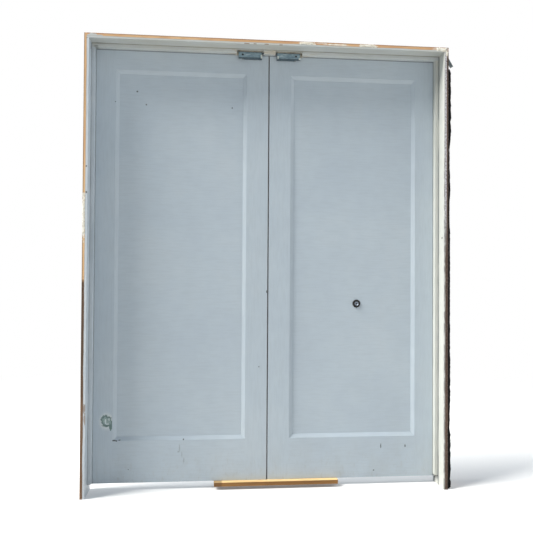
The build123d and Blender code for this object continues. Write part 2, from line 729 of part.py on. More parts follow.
def make_strap():
    """Galvanised strap, flat on the jamb behind its bend and turned to face the front before it."""
    x, y = strap_bend()
    fixed, free = strap_outlines()
    side = Plane(origin=(x, y, 0), x_dir=(0, 1, 0), z_dir=(1, 0, 0))
    front = Plane(origin=(x, y + STRAP_SHEET, 0), x_dir=(1, 0, 0), z_dir=(0, -1, 0))
    strap = extrude(side * make_face(Polyline(*fixed, close=True)), STRAP_SHEET)
    strap += extrude(front * make_face(Polyline(*free, close=True)), STRAP_SHEET)
    corner = strap.edges().filter_by(Axis.Z).sort_by(Axis.Y)[0]
    return fillet(corner, STRAP_BEND_RADIUS) - strap_nails(NAIL_PLAY)


def strap_nails(play):
    """Two nails through the strap into the right jamb; play enlarges them into their holes."""
    x, y = strap_bend()
    angle = radians(STRAP_SLANT)
    middle = FRAME_TOP_Z - STRAP_BEND_BELOW_TOP - STRAP_WIDTH / sin(angle) / 2
    nails = []
    for place in STRAP_NAIL_PLACES:
        spot = (x + STRAP_SHEET, y + place * sin(angle), middle + place * cos(angle))
        sizes = (STRAP_NAIL_RADIUS, STRAP_NAIL_HEAD_RADIUS, STRAP_NAIL_HEAD_HEIGHT)
        nails.append(flat_nail(spot, (-1, 0, 0), STRAP_NAIL_LENGTH, sizes, play))
    return nails


def flat_nail(spot, way, length, sizes, play):
    """A nail whose head lies on the surface at spot; with play it is only the hole for its shank."""
    radius, head_radius, head_height = sizes
    shank = rod(radius + play, spot, moved(spot, way, length + play))
    if play:
        return shank
    return shank + rod(head_radius, moved(spot, way, -head_height), spot)


def make_batten():
    """Plain batten under the leaves, with the holes for its nails."""
    front, top = FACE_Y - BATTEN_FRONT, UNDERCUT - TOUCH_GAP
    batten = block(
        -BATTEN_LEFT, BATTEN_RIGHT, front, front + BATTEN_DEPTH, top - BATTEN_THICKNESS, top
    )
    return batten - batten_nails(NAIL_PLAY)


def batten_nails(play):
    """Nails up through the batten into the right leaf's bottom rail."""
    bottom = UNDERCUT - TOUCH_GAP - BATTEN_THICKNESS
    sizes = (BATTEN_NAIL_RADIUS, BATTEN_NAIL_HEAD_RADIUS, BATTEN_NAIL_HEAD_HEIGHT)
    spots = [(x, PANEL_MID_Y, bottom) for x in BATTEN_NAIL_PLACES]
    return [flat_nail(spot, (0, 0, 1), BATTEN_NAIL_LENGTH, sizes, play) for spot in spots]


def both_sides(left_pieces):
    """Left pieces and their mirror images in one list."""
    return left_pieces + [mirrored(p) for p in left_pieces]


def make_frame():
    """Pieces of the frame by name."""
    jamb = make_jamb()
    left_end, notch = -OPEN_HALF, CATCH_CENTRE + NOTCH_HALF
    side_stop = make_side_stop()
    head_stop = make_head_stop(left_end, -notch, head_brad_places())
    middle_end = CATCH_CENTRE - NOTCH_HALF
    housing = make_catch_housing()
    brads = both_sides(
        [side_brad(z, 0) for z in side_brad_levels()] + [head_brad(x, 0) for x in head_brad_places()]
    )
    pieces = {
        "left_jamb": jamb,
        "right_jamb": mirrored(jamb) - strap_nails(NAIL_PLAY),
        "head_jamb": make_head(),
        "left_stop": side_stop,
        "right_stop": mirrored(side_stop),
        "left_head_stop": head_stop,
        "right_head_stop": mirrored(head_stop),
        "middle_head_stop": make_head_stop(-middle_end, middle_end, [0]),
        "corner_nails": both_sides([corner_nail(y, 0) for y in corner_nail_places()]),
        "stop_brads": brads + [head_brad(0, 0)],
        "frame_hinge_screws": both_sides(hinge_screws(-1, FRAME_SCREW_LENGTH)),
        "left_catch_housing": housing,
        "right_catch_housing": mirrored(housing),
        "catch_magnets": both_sides([make_magnet()]),
        "catch_pole_plates": both_sides(make_pole_plates()),
        "catch_mounting_screws": both_sides([catch_mount_screw(x, 0) for x in catch_mount_places()]),
        "catch_adjusters": both_sides([make_adjuster()]),
        "fixing_strap": make_strap(),
        "fixing_strap_nails": strap_nails(0),
    }
    for name, level in HINGE_LEVELS.items():
        leaf, pin = hinge_leaf(level, -1), hinge_pin(level)
        pieces[f"left_{name}_hinge_frame_leaf"] = leaf
        pieces[f"left_{name}_hinge_pin"] = pin
        pieces[f"right_{name}_hinge_frame_leaf"] = mirrored(leaf)
        pieces[f"right_{name}_hinge_pin"] = mirrored(pin)
    return pieces


def make_doors():
    """Pieces of both leaves by name; the bumper and the batten are on the right one."""
    pieces = {}
    for name, piece in make_leaf().items():
        pieces[f"left_{name}"] = piece
        if isinstance(piece, list):
            pieces[f"right_{name}"] = [mirrored(p) for p in piece]
        else:
            pieces[f"right_{name}"] = mirrored(piece)
    pieces["right_panel"] = pieces["right_panel"] - bumper_screw(SCREW_PLAY)
    pieces["bumper_ring"] = make_bumper_ring()
    pieces["bumper_cup"] = make_bumper_cup()
    pieces["bumper_screw"] = bumper_screw(0)
    pieces["right_bottom_rail"] = pieces["right_bottom_rail"] - batten_nails(NAIL_PLAY)
    pieces["transport_batten"] = make_batten()
    pieces["transport_batten_nails"] = batten_nails(0)
    return pieces


def write(name, piece):
    """Writes one piece, or a group of like pieces, to its own file."""
    shape = Compound(children=list(piece)) if isinstance(piece, list) else piece
    export_step(shape, f"parts/{name}.step")


os.makedirs("parts", exist_ok=True)
for name, piece in {**make_frame(), **make_doors()}.items():
    write(name, piece)
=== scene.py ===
# %% [markdown]
# This scene dresses a pair of painted interior doors that hang in their own timber frame.
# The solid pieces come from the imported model, at their real size and in metres: X runs across the
# opening, Y through the wall and Z up, with the origin on the floor in the middle of the frame.
# What is left to do here is what paint, bare pine, plaster, rubber and steel look like.

# %% Load the solid pieces
from math import pi

import bmesh
import bpy
from mathutils import Matrix, Vector, noise


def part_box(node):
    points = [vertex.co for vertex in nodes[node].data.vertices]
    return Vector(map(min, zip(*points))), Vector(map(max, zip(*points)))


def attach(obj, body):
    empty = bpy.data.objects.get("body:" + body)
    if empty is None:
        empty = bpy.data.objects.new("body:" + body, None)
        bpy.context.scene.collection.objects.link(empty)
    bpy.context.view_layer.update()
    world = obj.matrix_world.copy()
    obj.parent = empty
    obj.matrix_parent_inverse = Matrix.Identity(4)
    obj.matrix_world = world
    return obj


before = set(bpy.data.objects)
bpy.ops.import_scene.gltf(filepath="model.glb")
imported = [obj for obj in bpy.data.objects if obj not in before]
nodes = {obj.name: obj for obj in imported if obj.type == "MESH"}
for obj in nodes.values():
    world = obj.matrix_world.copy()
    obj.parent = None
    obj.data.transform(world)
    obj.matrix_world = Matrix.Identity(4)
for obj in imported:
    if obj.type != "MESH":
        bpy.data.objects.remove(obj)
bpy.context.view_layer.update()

MM = 0.001

# %% [markdown]
# Asking the frame for a piece's lowest and highest corner keeps the paint line, the plaster and
# the dirt where the wood is, whatever size the doors are built to.

# %% Places on the frame and the leaves
jamb_low, jamb_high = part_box("left_jamb")
OUTER_X = -jamb_low.x
INNER_X = -jamb_high.x
FRONT_Y = jamb_low.y
TOP_Z = jamb_high.z
HEAD_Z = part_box("head_jamb")[0].z
FACE_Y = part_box("right_hinge_stile")[0].y

stop_low, stop_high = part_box("right_stop")
STOP_X = stop_low.x
STOP_Y = stop_low.y
STOP_Z = stop_high.z

catch_low, catch_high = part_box("right_catch_housing")
CATCH_X = (catch_low.x + catch_high.x) / 2
print("opening half width:", round(INNER_X, 4), "leaf face:", round(FACE_Y, 4))
print("edge of the stops:", round(STOP_X, 4), "middle of a catch:", round(CATCH_X, 4))

# %% [markdown]
# The camera stands where the photographer stood: about three metres in front of the doors, a
# little to the left of their middle and just under a metre up, and turned slightly to the right.
# Three turns about the world's axes give the view, and the last quarter turn is there because a
# camera looks along its own -Z axis.

# %% Camera
CAMERA_PLACE = Vector((-0.302, -2.968, 0.986))
CAMERA_YAW = -0.098
CAMERA_PITCH = 0.016
CAMERA_ROLL = -0.006
FOCAL_PIXELS = 640.0
IMAGE_PIXELS = 533.0
SENSOR = 36.0


def put(name, data):
    """Puts the data in the scene as a new object."""
    item = bpy.data.objects.new(name, data)
    bpy.context.scene.collection.objects.link(item)
    return item


camera_data = bpy.data.cameras.new("camera")
camera_data.sensor_width = SENSOR
camera_data.lens = SENSOR * FOCAL_PIXELS / IMAGE_PIXELS
camera_data.clip_start = 0.05
camera_data.clip_end = 200.0
camera = put("camera", camera_data)
turn = Matrix.Rotation(CAMERA_YAW, 4, "Z") @ Matrix.Rotation(CAMERA_PITCH, 4, "X")
turn = turn @ Matrix.Rotation(CAMERA_ROLL, 4, "Y") @ Matrix.Rotation(pi / 2, 4, "X")
camera.matrix_world = Matrix.Translation(CAMERA_PLACE) @ turn
bpy.context.scene.camera = camera
bpy.context.scene.view_settings.view_transform = "Standard"
print("lens:", round(camera_data.lens, 2), "mm")

# %% [markdown]
# Long networks of nodes are hard to read. This class wraps one output, so that sums are written
# as for plain numbers: `1 - mask` adds a Math node by itself.

# %% Sums on shader values
def sum_of(operation, swapped=False):
    """A method that works out one sum with a Math node."""

    def method(self, *other):
        values = (*other, self) if swapped else (self, *other)
        return self.network.add("ShaderNodeMath", {"operation": operation}, dict(enumerate(values)))

    return method


class Wire:
    """A value that flows from one node to the next."""

    __add__ = sum_of("ADD")
    __radd__ = sum_of("ADD", swapped=True)
    __sub__ = sum_of("SUBTRACT")
    __rsub__ = sum_of("SUBTRACT", swapped=True)
    __mul__ = sum_of("MULTIPLY")
    __rmul__ = sum_of("MULTIPLY", swapped=True)
    __truediv__ = sum_of("DIVIDE")
    __abs__ = sum_of("ABSOLUTE")
    most = sum_of("MAXIMUM")
    root = sum_of("SQRT")
    sine = sum_of("SINE")

    def __init__(self, network, socket):
        self.network = network
        self.socket = socket

    def step(self, low, high):
        """0 below low, 1 above high and a soft slope between them; low may be the larger."""
        sockets = {0: self, 1: low, 2: high, 3: 0.0, 4: 1.0}
        return self.network.add("ShaderNodeMapRange", {"interpolation_type": "SMOOTHSTEP"}, sockets)


# %% [markdown]
# Materials and the sky are both trees of nodes, so a Network can fill either. Its `add` makes any
# kind of node from its type, its settings and what goes into its sockets. `seen_directly` is the
# old trick for a white background: it is 1 only for rays that show a thing to the camera.

# %% A network of nodes
class Network:
    """The nodes of one material or of the sky."""

    def __init__(self, owner):
        owner.use_nodes = True
        self.tree = owner.node_tree
        self.tree.nodes.clear()

    def add(self, kind, settings=None, sockets=None, out=0):
        """A node of that kind; its settings go in before its sockets, and `out` is the output used."""
        node = self.tree.nodes.new(kind)
        for name, value in (settings or {}).items():
            setattr(node, name, value)
        for key, value in (sockets or {}).items():
            if isinstance(value, Wire):
                self.tree.links.new(value.socket, node.inputs[key])
            else:
                node.inputs[key].default_value = value
        return Wire(self, node.outputs[out]) if node.outputs else None

    def ramp(self, value, stops):
        """A colour read off from (position, colour) pairs."""
        wire = self.add("ShaderNodeValToRGB", sockets={0: value})
        elements = wire.socket.node.color_ramp.elements
        while len(elements) < len(stops):
            elements.new(1.0)
        for element, (position, colour) in zip(elements, stops):
            element.position = position
            element.color = colour
        return wire

    def mix(self, factor, first, second):
        """One colour turning into another as the factor goes from 0 to 1."""
        sockets = {0: factor, 6: first, 7: second}
        return self.add("ShaderNodeMix", {"data_type": "RGBA"}, sockets, out=2)

    def seen_directly(self):
        """1 for rays from the camera, a mirror or a pane of glass, and 0 for light on its way."""
        kinds = ("Camera", "Glossy", "Transmission")
        rays = [self.add("ShaderNodeLightPath", out=f"Is {kind} Ray") for kind in kinds]
        return rays[0].most(rays[1]).most(rays[2])


# %% [markdown]
# A Finish is the network of one material. It starts from object coordinates, which here are
# metres in the doors' own frame: a stain can be put at a height above the floor, and it stays on
# its leaf when the leaf swings.

# %% One material
class Finish(Network):
    """One material and the nodes that make it."""

    def __init__(self, name):
        self.material = bpy.data.materials.new(name)
        super().__init__(self.material)
        self.spot = self.add("ShaderNodeTexCoord", out="Object")
        self.x, self.y, self.z = [
            self.add("ShaderNodeSeparateXYZ", sockets={0: self.spot}, out=part) for part in range(3)
        ]

    def grain(self, across, along=None, axis="z", detail=3.0, shift=0.0):
        """Noise with so many grains a metre; a smaller number draws it out along one axis."""
        along = across if along is None else along
        scales = [along if name == axis else across for name in "xyz"]
        sockets = {0: self.spot, 1: scales, 2: [shift] * 3}
        drawn = self.add("ShaderNodeVectorMath", {"operation": "MULTIPLY_ADD"}, sockets)
        sockets = {"Vector": drawn, "Scale": 1.0, "Detail": detail, "Roughness": 0.55}
        return self.add("ShaderNodeTexNoise", sockets=sockets)

    def surface(self, colour, rough, height, relief=1.0, **more):
        """Ends the material; height is in millimetres, and relief is how strongly it shows."""
        bump = {"Height": height, "Distance": MM, "Strength": relief}
        sockets = {name.replace("_", " "): value for name, value in more.items()}
        sockets["Normal"] = self.add("ShaderNodeBump", sockets=bump)
        sockets["Base Color"] = colour
        sockets["Roughness"] = rough
        shader = self.add("ShaderNodeBsdfPrincipled", sockets=sockets)
        self.add("ShaderNodeOutputMaterial", sockets={"Surface": shader})
        return self.material


def tone(red, green, blue):
    """A colour as it looks on screen, 0 to 255, in the linear numbers that nodes take."""
    parts = []
    for value in (red, green, blue):
        share = value / 255
        parts.append(share / 12.92 if share <= 0.04045 else ((share + 0.055) / 1.055) ** 2.4)
    return (*parts, 1.0)


def ending(*tails):
    """The solid pieces whose names end in one of the tails."""
    return [name for name in nodes if name.endswith(tails)]


def dress(material, *names):
    """Puts a material on solid pieces by name."""
    for name in names:
        slots = nodes[name].data.materials
        slots.clear()
        slots.append(material)
    print(material.name, "on", len(names), "pieces,", len(material.node_tree.nodes), "nodes")


# %% [markdown]
# Chips, specks, dirt and filler sit at one known place each. All are ragged ellipses in the front
# view: the distance from the middle is bent by a fine noise, and a soft step makes it a mask.

# %% Ragged marks
def mark(finish, place, size, plane="xz", ragged=0.5, soft=0.12, grains=180.0):
    """1 inside a ragged ellipse in a plane, from its middle and its half sizes, in metres."""
    across = (getattr(finish, plane[0]) - place[0]) / size[0]
    up = (getattr(finish, plane[1]) - place[1]) / size[1]
    bent = (finish.grain(grains, shift=place[0] * 7) - 0.5) * (2 * ragged)
    distance = (across * across + up * up).root() + bent
    return distance.step(1 + soft, 1 - soft)


def marks(finish, places, **looks):
    """Several marks in one mask, from (across, up, half width, half height) in millimetres."""
    mask = None
    for across, up, wide, high in places:
        one = mark(finish, (across * MM, up * MM), (wide * MM, high * MM), **looks)
        mask = one if mask is None else mask.most(one)
    return mask


# %% [markdown]
# The paint is an old white gloss that has gone cool and slightly grey. A brush leaves fine ridges
# along a board, and a roller leaves a stipple of two or three millimetres on a panel. Both are
# noise, drawn out along the board or even in all directions. Their height goes to a Bump node,
# since ridges of a few hundredths of a millimetre need no mesh.

# %% Paint
LEAF_PAINT = [tone(178, 190, 201), tone(182, 194, 204), tone(186, 197, 206)]
STREAK = tone(160, 170, 178)
# The frame paint below is the cool copy, as in shade; the warmer one after it is painted sunlight.
FRAME_PAINT = [tone(193, 203, 212), tone(201, 210, 218), tone(209, 216, 222)]
SUNLIT_FRAME_PAINT = [tone(195, 197, 191), tone(202, 204, 198), tone(209, 210, 205)]
DIRT = tone(150, 142, 126)
# Dark grey for dirt and painted shade in corners and beside the stops.
CORNER_DIRT_AND_SHADE = tone(98, 102, 106)
SOOT = tone(58, 60, 60)


def dust_and_bounce_tint(finish, colour, amount, axis="x"):
    """Warm dust and painted bounce light, which take the blue out of a coat that faces down or stands in
    a corner.
    """
    film = finish.grain(14.0, 4.0, axis, detail=4.0, shift=21).step(0.25, 0.75) * 0.5 + 0.5
    return finish.mix(film * amount, colour, tone(182, 178, 160))


def paint_coat(finish, axis=None, shift=0.0, tones=LEAF_PAINT):
    """Colour and height in millimetres of a coat, brushed along an axis, or rolled if it is None."""
    cloud = finish.grain(2.3, shift=shift, detail=4.0)
    patch = finish.grain(17.0, shift=shift + 3)
    streak = finish.grain(150.0, 14.0, axis or "x", detail=4.0, shift=shift)
    if axis is None:
        fine = finish.grain(420.0, detail=1.0, shift=shift)
    else:
        fine = finish.grain(620.0, 7.0, axis, detail=2.0, shift=shift)
    colour = finish.ramp(cloud * 0.7 + patch * 0.3, list(zip((0.36, 0.5, 0.64), tones)))
    colour = finish.mix(streak.step(0.42, 0.66) * 0.16, colour, STREAK)
    return colour, fine * 0.06 + streak * 0.20


def grime(finish, colour, amount=1.0):
    """Dust and splashes that thin out above the floor, and a few drips."""
    low = finish.z.step(0.26, 0.02)
    splash = finish.grain(90.0, 40.0, detail=5.0, shift=9).step(0.50, 0.75)
    haze = finish.grain(9.0, 4.0, shift=5).step(0.35, 0.75)
    return finish.mix((low * (splash * 0.16 + haze * 0.12) + haze * 0.03) * amount, colour, DIRT)


# %% [markdown]
# Low on the left hinge stile the paint has come off in a patch as large as a hand's palm. It shows
# a ring of grey-green primer round a paler middle, with crumbs of paint in it. The old paint is
# half a millimetre thick, so the mask is handed back to lower the bump too.

# %% The worn patch
PRIMER_DARK = tone(104, 126, 124)
PRIMER_PALE = tone(158, 176, 174)
BEVEL_EDGE_X = -715 * MM


def leaf_front(finish):
    """1 on the half of a leaf that faces the stops, so that a mark doesn't show on its back."""
    return finish.y.step(FACE_Y + 25 * MM, FACE_Y + 15 * MM)


def worn_patch(finish, colour, front):
    """The colour with the patch in it, and the masks of the bare place and of the rim round it."""
    inside = finish.x.step(BEVEL_EDGE_X + 0.5 * MM, BEVEL_EDGE_X - 0.5 * MM) * front
    rim = marks(finish, [(-739, 318, 31, 36)], ragged=0.25, soft=0.35) * inside
    bare = marks(finish, [(-739, 319, 25, 27), (-721, 294, 7, 18)], ragged=0.5, grains=110.0) * inside
    middle = marks(finish, [(-742, 321, 17, 17), (-727, 314, 7, 12)], ragged=0.8, grains=150.0) * front
    blotch = finish.grain(200.0, detail=5.0, shift=2).step(0.38, 0.60)
    worn = finish.mix(middle * (0.35 + blotch * 0.6), PRIMER_DARK, PRIMER_PALE)
    places = [(-744, 318, 4, 12), (-735, 306, 7, 3), (-728, 326, 3, 5)]
    crumbs = marks(finish, places, ragged=0.9, grains=300.0) * front
    worn = finish.mix(crumbs, worn, tone(204, 214, 216))
    colour = finish.mix(rim * 0.5, colour, tone(228, 230, 226))
    return finish.mix(bare, colour, worn), bare, rim


# %% [markdown]
# The two meeting edges have rubbed on each other, so their arris is grey, a band that painted
# shade widens, and the edge behind it is painted nearly black as the shade in the gap. A fine
# dark line of painted shade runs along the stops, where they cover the leaves.

# %% Edges of the leaves
def meeting_edge_and_gap_shade(finish, colour):
    # Painted shade: nearly black edge faces in the gap, and a grey band beside it, partly wear.
    from_gap = abs(finish.x) * 1000
    grey_patches = from_gap.step(3.6, 2.6) * (finish.grain(70.0, 9.0, shift=4).step(0.35, 0.62) * 0.6 + 0.4)
    colour = finish.mix(grey_patches * 0.60, colour, tone(110, 104, 104))
    near_front = finish.y.step(FACE_Y + 26 * MM, FACE_Y + 8 * MM) * 0.75 + 0.25
    return finish.mix(from_gap.step(2.9, 2.4) * near_front, colour, tone(34, 28, 30))


def shade_beside_stops(finish, colour, front):
    # Painted shade: a dark line on each leaf right beside the stops.
    side = abs(finish.x).step(STOP_X - 3.5 * MM, STOP_X - 1.5 * MM)
    top = finish.z.step(STOP_Z - 4.5 * MM, STOP_Z - 2.0 * MM)
    return finish.mix(side.most(top) * front * 0.68, colour, CORNER_DIRT_AND_SHADE)


# %% [markdown]
# The stiles stand upright and are brushed up and down. Places are given as they are measured in
# the front view, in millimetres from the middle of the opening and from the floor.

# %% Stiles
NICKS = [(-4.6, 916, 3.5, 6), (-40, 563, 2.5, 3), (-713, 1792, 3, 2)]
CORNER_BLOTCHES = [(-706, 230, 7, 3), (-694, 228, 5, 2.5), (-681, 231, 5, 2)]


def stile_paint():
    finish = Finish("stile_paint")
    colour, height = paint_coat(finish, "z", shift=1.0)
    colour = grime(finish, colour)
    front = leaf_front(finish)
    colour, bare, rim = worn_patch(finish, colour, front)
    nicks = marks(finish, NICKS + CORNER_BLOTCHES, ragged=0.6)
    colour = finish.mix(nicks * front * 0.85, colour, SOOT)
    colour = meeting_edge_and_gap_shade(finish, colour)
    colour = shade_beside_stops(finish, colour, front)
    rough = 0.36 + finish.grain(24.0, shift=6) * 0.16 + bare * 0.3
    height = height - bare * 0.45 + rim * 0.08 - nicks * 0.3
    return finish.surface(colour, rough, height)


dress(stile_paint(), *ending("_stile"))

# %% [markdown]
# The rails are brushed across, so the ridges turn through a right angle at every joint, which is
# what makes a framed door look framed. The bottom rails also show faint smears and a few specks.

# %% Rails
SMEARS = [(-407, 190, 3, 16), (-412, 174, 5, 4), (-387, 133, 3, 12), (-396, 160, 2, 12)]
RAIL_SPECKS = [(-389, 229, 3.5, 3.5), (547, 181, 2.4, 11), (666, 180, 3, 7)]
RAIL_SPECKS += [(512, 67, 4, 3), (-640, 96, 2, 2)]


def rail_paint():
    finish = Finish("rail_paint")
    colour, height = paint_coat(finish, "x", shift=1.0)
    colour = grime(finish, colour, 1.2)
    front = leaf_front(finish)
    smears = marks(finish, SMEARS, ragged=0.8, soft=0.4, grains=260.0)
    colour = finish.mix(smears * front * 0.42, colour, tone(112, 118, 124))
    dark = marks(finish, RAIL_SPECKS, ragged=0.5).most(marks(finish, CORNER_BLOTCHES, ragged=0.8))
    colour = finish.mix(dark * front * 0.85, colour, SOOT)
    colour = shade_beside_stops(finish, colour, front)
    # Beige dust and a painted pool of light lift the shaded top rail round the catch notches.
    notch_dust_and_light = abs(abs(finish.x) - CATCH_X).step(75 * MM, 62 * MM) * front
    notch_dust_and_light = notch_dust_and_light * finish.z.step(STOP_Z - 7 * MM, STOP_Z + 3 * MM)
    colour = finish.mix(notch_dust_and_light * 0.8, colour, tone(228, 218, 194))
    rough = 0.36 + finish.grain(24.0, shift=2) * 0.16
    height = height - dark * 0.25
    return finish.surface(colour, rough, height)


dress(rail_paint(), *ending("_rail"))

# %% [markdown]
# The flat panels are rolled, so they get the same coat without a brushing direction. A few fly
# specks sit near the upper corners of the left one, and two blotches low down by its bevel.

# %% Panels
PANEL_SPECKS = [(-615, 1845, 4, 4), (-573, 1785, 3.5, 3.5), (-173, 1782, 3, 4)]
PANEL_SPECKS += [(-709, 231, 5, 3), (-690, 233, 6, 3)]


def panel_paint():
    finish = Finish("panel_paint")
    colour, height = paint_coat(finish, shift=1.0)
    colour = grime(finish, colour, 0.8)
    specks = marks(finish, PANEL_SPECKS, ragged=0.5)
    colour = finish.mix(specks * leaf_front(finish) * 0.8, colour, SOOT)
    rough = 0.38 + finish.grain(16.0, shift=3) * 0.18
    return finish.surface(colour, rough, height - specks * 0.2)


dress(panel_paint(), *ending("_panel"))

# %% [markdown]
# Sawn pine shows its growth rings as long arches. They are the contour lines of a noise that is
# drawn out along the board: a sine of that noise gives the lines, and a bump of noise at a knot
# makes them flow round it, as they do in the tree. Fine fibres and a rough saw mark go on top.

# %% Bare timber
def timber(finish, pale, dark, axis="z", rings=64.0, knots=(), shift=0.0):
    """Colour and height of sawn pine; knots are (x, y, z, radius) in metres."""
    field = finish.grain(9.0, 0.55, axis, detail=1.5, shift=shift)
    heart = None
    for x, y, z, radius in knots:
        squeeze = 0.35
        parts = [(finish.x - x, axis == "x"), (finish.y - y, False), (finish.z - z, axis == "z")]
        total = None
        for part, lengthwise in parts:
            part = part * (squeeze if lengthwise else 1.0)
            total = part * part if total is None else total + part * part
        distance = total.root() + (finish.grain(30.0, 6.0, axis, shift=shift + 2) - 0.5) * radius * 2.4
        field = field + distance.step(radius * 4.5, 0.0) * 0.20
        core = distance.step(radius * 0.55, radius * 0.4)
        heart = core if heart is None else heart.most(core)
    lines = (field * rings).sine() * 0.5 + 0.5
    fibre = finish.grain(900.0, 16.0, axis, detail=3.0, shift=shift)
    colour = finish.mix(lines * 0.55 + fibre * 0.35, pale, dark)
    if heart is not None:
        colour = finish.mix(heart * 0.85, colour, tone(92, 56, 34))
    height = fibre * 0.10 - lines * 0.05
    return colour, height


# %% [markdown]
# The jambs and the head are pine boards that were painted only where they showed. Their bare faces
# come first: pale pine turning into darker brown pine, which on the side jambs is partly painted
# shade, and a darker outer arris on the front edge, dirt with a painted shadow line. Depth is how
# far a point lies behind the painted face.

# %% Bare faces of a board
PINE = tone(228, 191, 147)
PINE_RED = tone(208, 160, 116)
OLD_PINE = [tone(128, 98, 76), tone(92, 70, 54)]
# The darkest pine tones copy bare wood in shade: painted shade on the right jamb.
SHADED_DARK_PINE = [tone(76, 56, 49), tone(46, 34, 30)]
PINE_BROWN = tone(104, 80, 60)
BOARD = (OUTER_X - INNER_X) * 1000


def front_edge(finish, deep=4, full=1):
    """1 on the front edge, and still at `full` millimetres behind it, fading to 0 at `deep`."""
    return finish.y.step(FRONT_Y + deep * MM, FRONT_Y + full * MM)


def bare_face(finish, depth, axis, knots, darker_pine_tones, darkening):
    """Pale pine turning into darker pine, partly painted shade, stained here and there; and its height.
    """
    paler_wood, furrows = timber(finish, PINE, PINE_RED, axis, knots=knots, shift=1.0)
    darker_wood, _ = timber(finish, *darker_pine_tones, axis, knots=knots, shift=1.0)
    bare = finish.mix(darkening, paler_wood, darker_wood)
    stain = finish.grain(26.0, 5.0, axis, detail=4.0, shift=8).step(0.55, 0.78)
    bare = finish.mix(stain * 0.35, bare, PINE_BROWN)
    # Dirt and a painted shadow line darken the outer arris of the front edge.
    wander = finish.grain(90.0, 12.0, axis, detail=4.0, shift=11) * 2.4
    arris = (depth + wander).step(BOARD - 3.2, BOARD - 1.4) * front_edge(finish, 6)
    return finish.mix(arris * 0.55, bare, tone(78, 60, 48)), furrows


# %% [markdown]
# Paint covers the faces towards the opening and a ragged strip of the front edge, where the old
# architrave stopped the brush. One function dresses all three boards: paint up to the strip's
# width, then bare wood, with dirt gathered on the line, and dirt with painted shade in the corner
# by the stop. What is special to a board, its own wear and painted light, goes on before the two
# are put together.

# %% A painted board
def corner_dirt_and_shade(finish, depth, axis, paint):
    """Dirt and painted shade in the corner between a board and its stop."""
    behind = (finish.y - STOP_Y) * 1000
    corner = behind.step(-14.0, -7.0) * behind.step(1.4, 0.6) * depth.step(1.2, 0.8)
    gathered = finish.grain(40.0, 5.0, axis, shift=17).step(0.30, 0.55) * 0.45 + 0.55
    return finish.mix(corner * gathered, paint, CORNER_DIRT_AND_SHADE)


def painted_board(name, axis, depth_of, strip, knots, darker_pine_tones, darkening_of, wear_and_painted_light, tones=FRAME_PAINT):
    """A board painted to `strip` millimetres deep behind its inner face, and bare beyond."""
    finish = Finish(name)
    depth = depth_of(finish) * 1000
    paint, ridges = paint_coat(finish, axis, shift=2.0, tones=tones)
    paint = corner_dirt_and_shade(finish, depth, axis, grime(finish, paint))
    bare, furrows = bare_face(finish, depth, axis, knots, darker_pine_tones, darkening_of(finish))
    line = depth + (finish.grain(60.0, 9.0, axis, detail=4.0, shift=3) - 0.5) * 5.0
    coat = line.step(strip + 0.5, strip - 0.3)
    seam = line.step(strip - 1.6, strip) * line.step(strip + 1.2, strip + 0.2)
    coat, bare, paint = wear_and_painted_light(finish, coat, bare, paint)
    colour = finish.mix(coat, bare, paint)
    colour = finish.mix(seam * 0.45, colour, tone(112, 96, 80))
    rough = 0.78 - coat * 0.36 + finish.grain(30.0, shift=5) * 0.1
    height = furrows + (ridges - furrows) * coat + coat * 0.25
    return finish.surface(colour, rough, height)


def behind_jamb(finish):
    return abs(finish.x) - INNER_X


# %% [markdown]
# The left jamb is pale at the top. Below half height its front edge is dark up to one sharp
# line: darker wood with a painted shadow on it, and its outer faces darken gently towards the
# bottom. White filler covers the edge just above that line.

# %% Left jamb
PLASTER = tone(238, 234, 222)
LEFT_STRIP = 9.6
LEFT_KNOTS = [(-OUTER_X, -0.012, 0.62, 0.016), (-OUTER_X, 0.030, 1.51, 0.011)]


def left_jamb_darkening(finish):
    """How dark the wood is, from 0 to 1; the sharp line on the front edge is a painted shadow's edge."""
    wander = finish.grain(60.0, 20.0, shift=2) * 0.03
    edge = (finish.z + wander).step(0.978, 0.964) * front_edge(finish, 12, 4)
    side = (finish.z + finish.grain(5.0, 1.5, shift=2) * 0.8).step(1.50, 1.10) * 0.35
    return (edge * 0.95).most(side)


def left_jamb_wear_and_shade(finish, coat, bare, paint):
    """Painted shade and filler over the bare strip, a brown knock low down and nicks in the painted
    strip.
    """
    front = front_edge(finish)
    # Painted shade: the bare front edge from 0.47 m up to the shadow line is darker still.
    dark_shade_below = finish.z.step(0.972, 0.966) * finish.z.step(0.38, 0.47) * front
    bare = finish.mix(dark_shade_below * 0.55, bare, tone(58, 46, 38))
    filler = marks(finish, [(-833, 1250, 7, 104)], ragged=0.45, soft=0.06, grains=70.0) * front
    flecks = finish.grain(300.0, 110.0, detail=4.0, shift=12).step(0.57, 0.64)
    bare = finish.mix(filler, bare, finish.mix(flecks * 0.7, PLASTER, tone(168, 142, 112)))
    places = [(-822, 398, 6, 20), (-820, 352, 4, 26)]
    patchy_marks = marks(finish, places, ragged=0.8, grains=120.0) * front
    paint = finish.mix(patchy_marks * 0.7, paint, tone(122, 98, 76))
    places = [(-822, 1357, 4, 5), (-823, 1473, 3, 4), (-828, 2046, 5, 2.5)]
    nicks = marks(finish, places, ragged=0.5) * front
    inner = marks(finish, [(-18, 2020, 5, 8)], plane="yz", ragged=0.6)
    paint = finish.mix(nicks.most(inner) * 0.8, paint, SOOT)
    return coat, bare, paint


left_look = (LEFT_STRIP, LEFT_KNOTS, OLD_PINE, left_jamb_darkening, left_jamb_wear_and_shade)
dress(painted_board("left_jamb_timber", "z", behind_jamb, *left_look), "left_jamb")

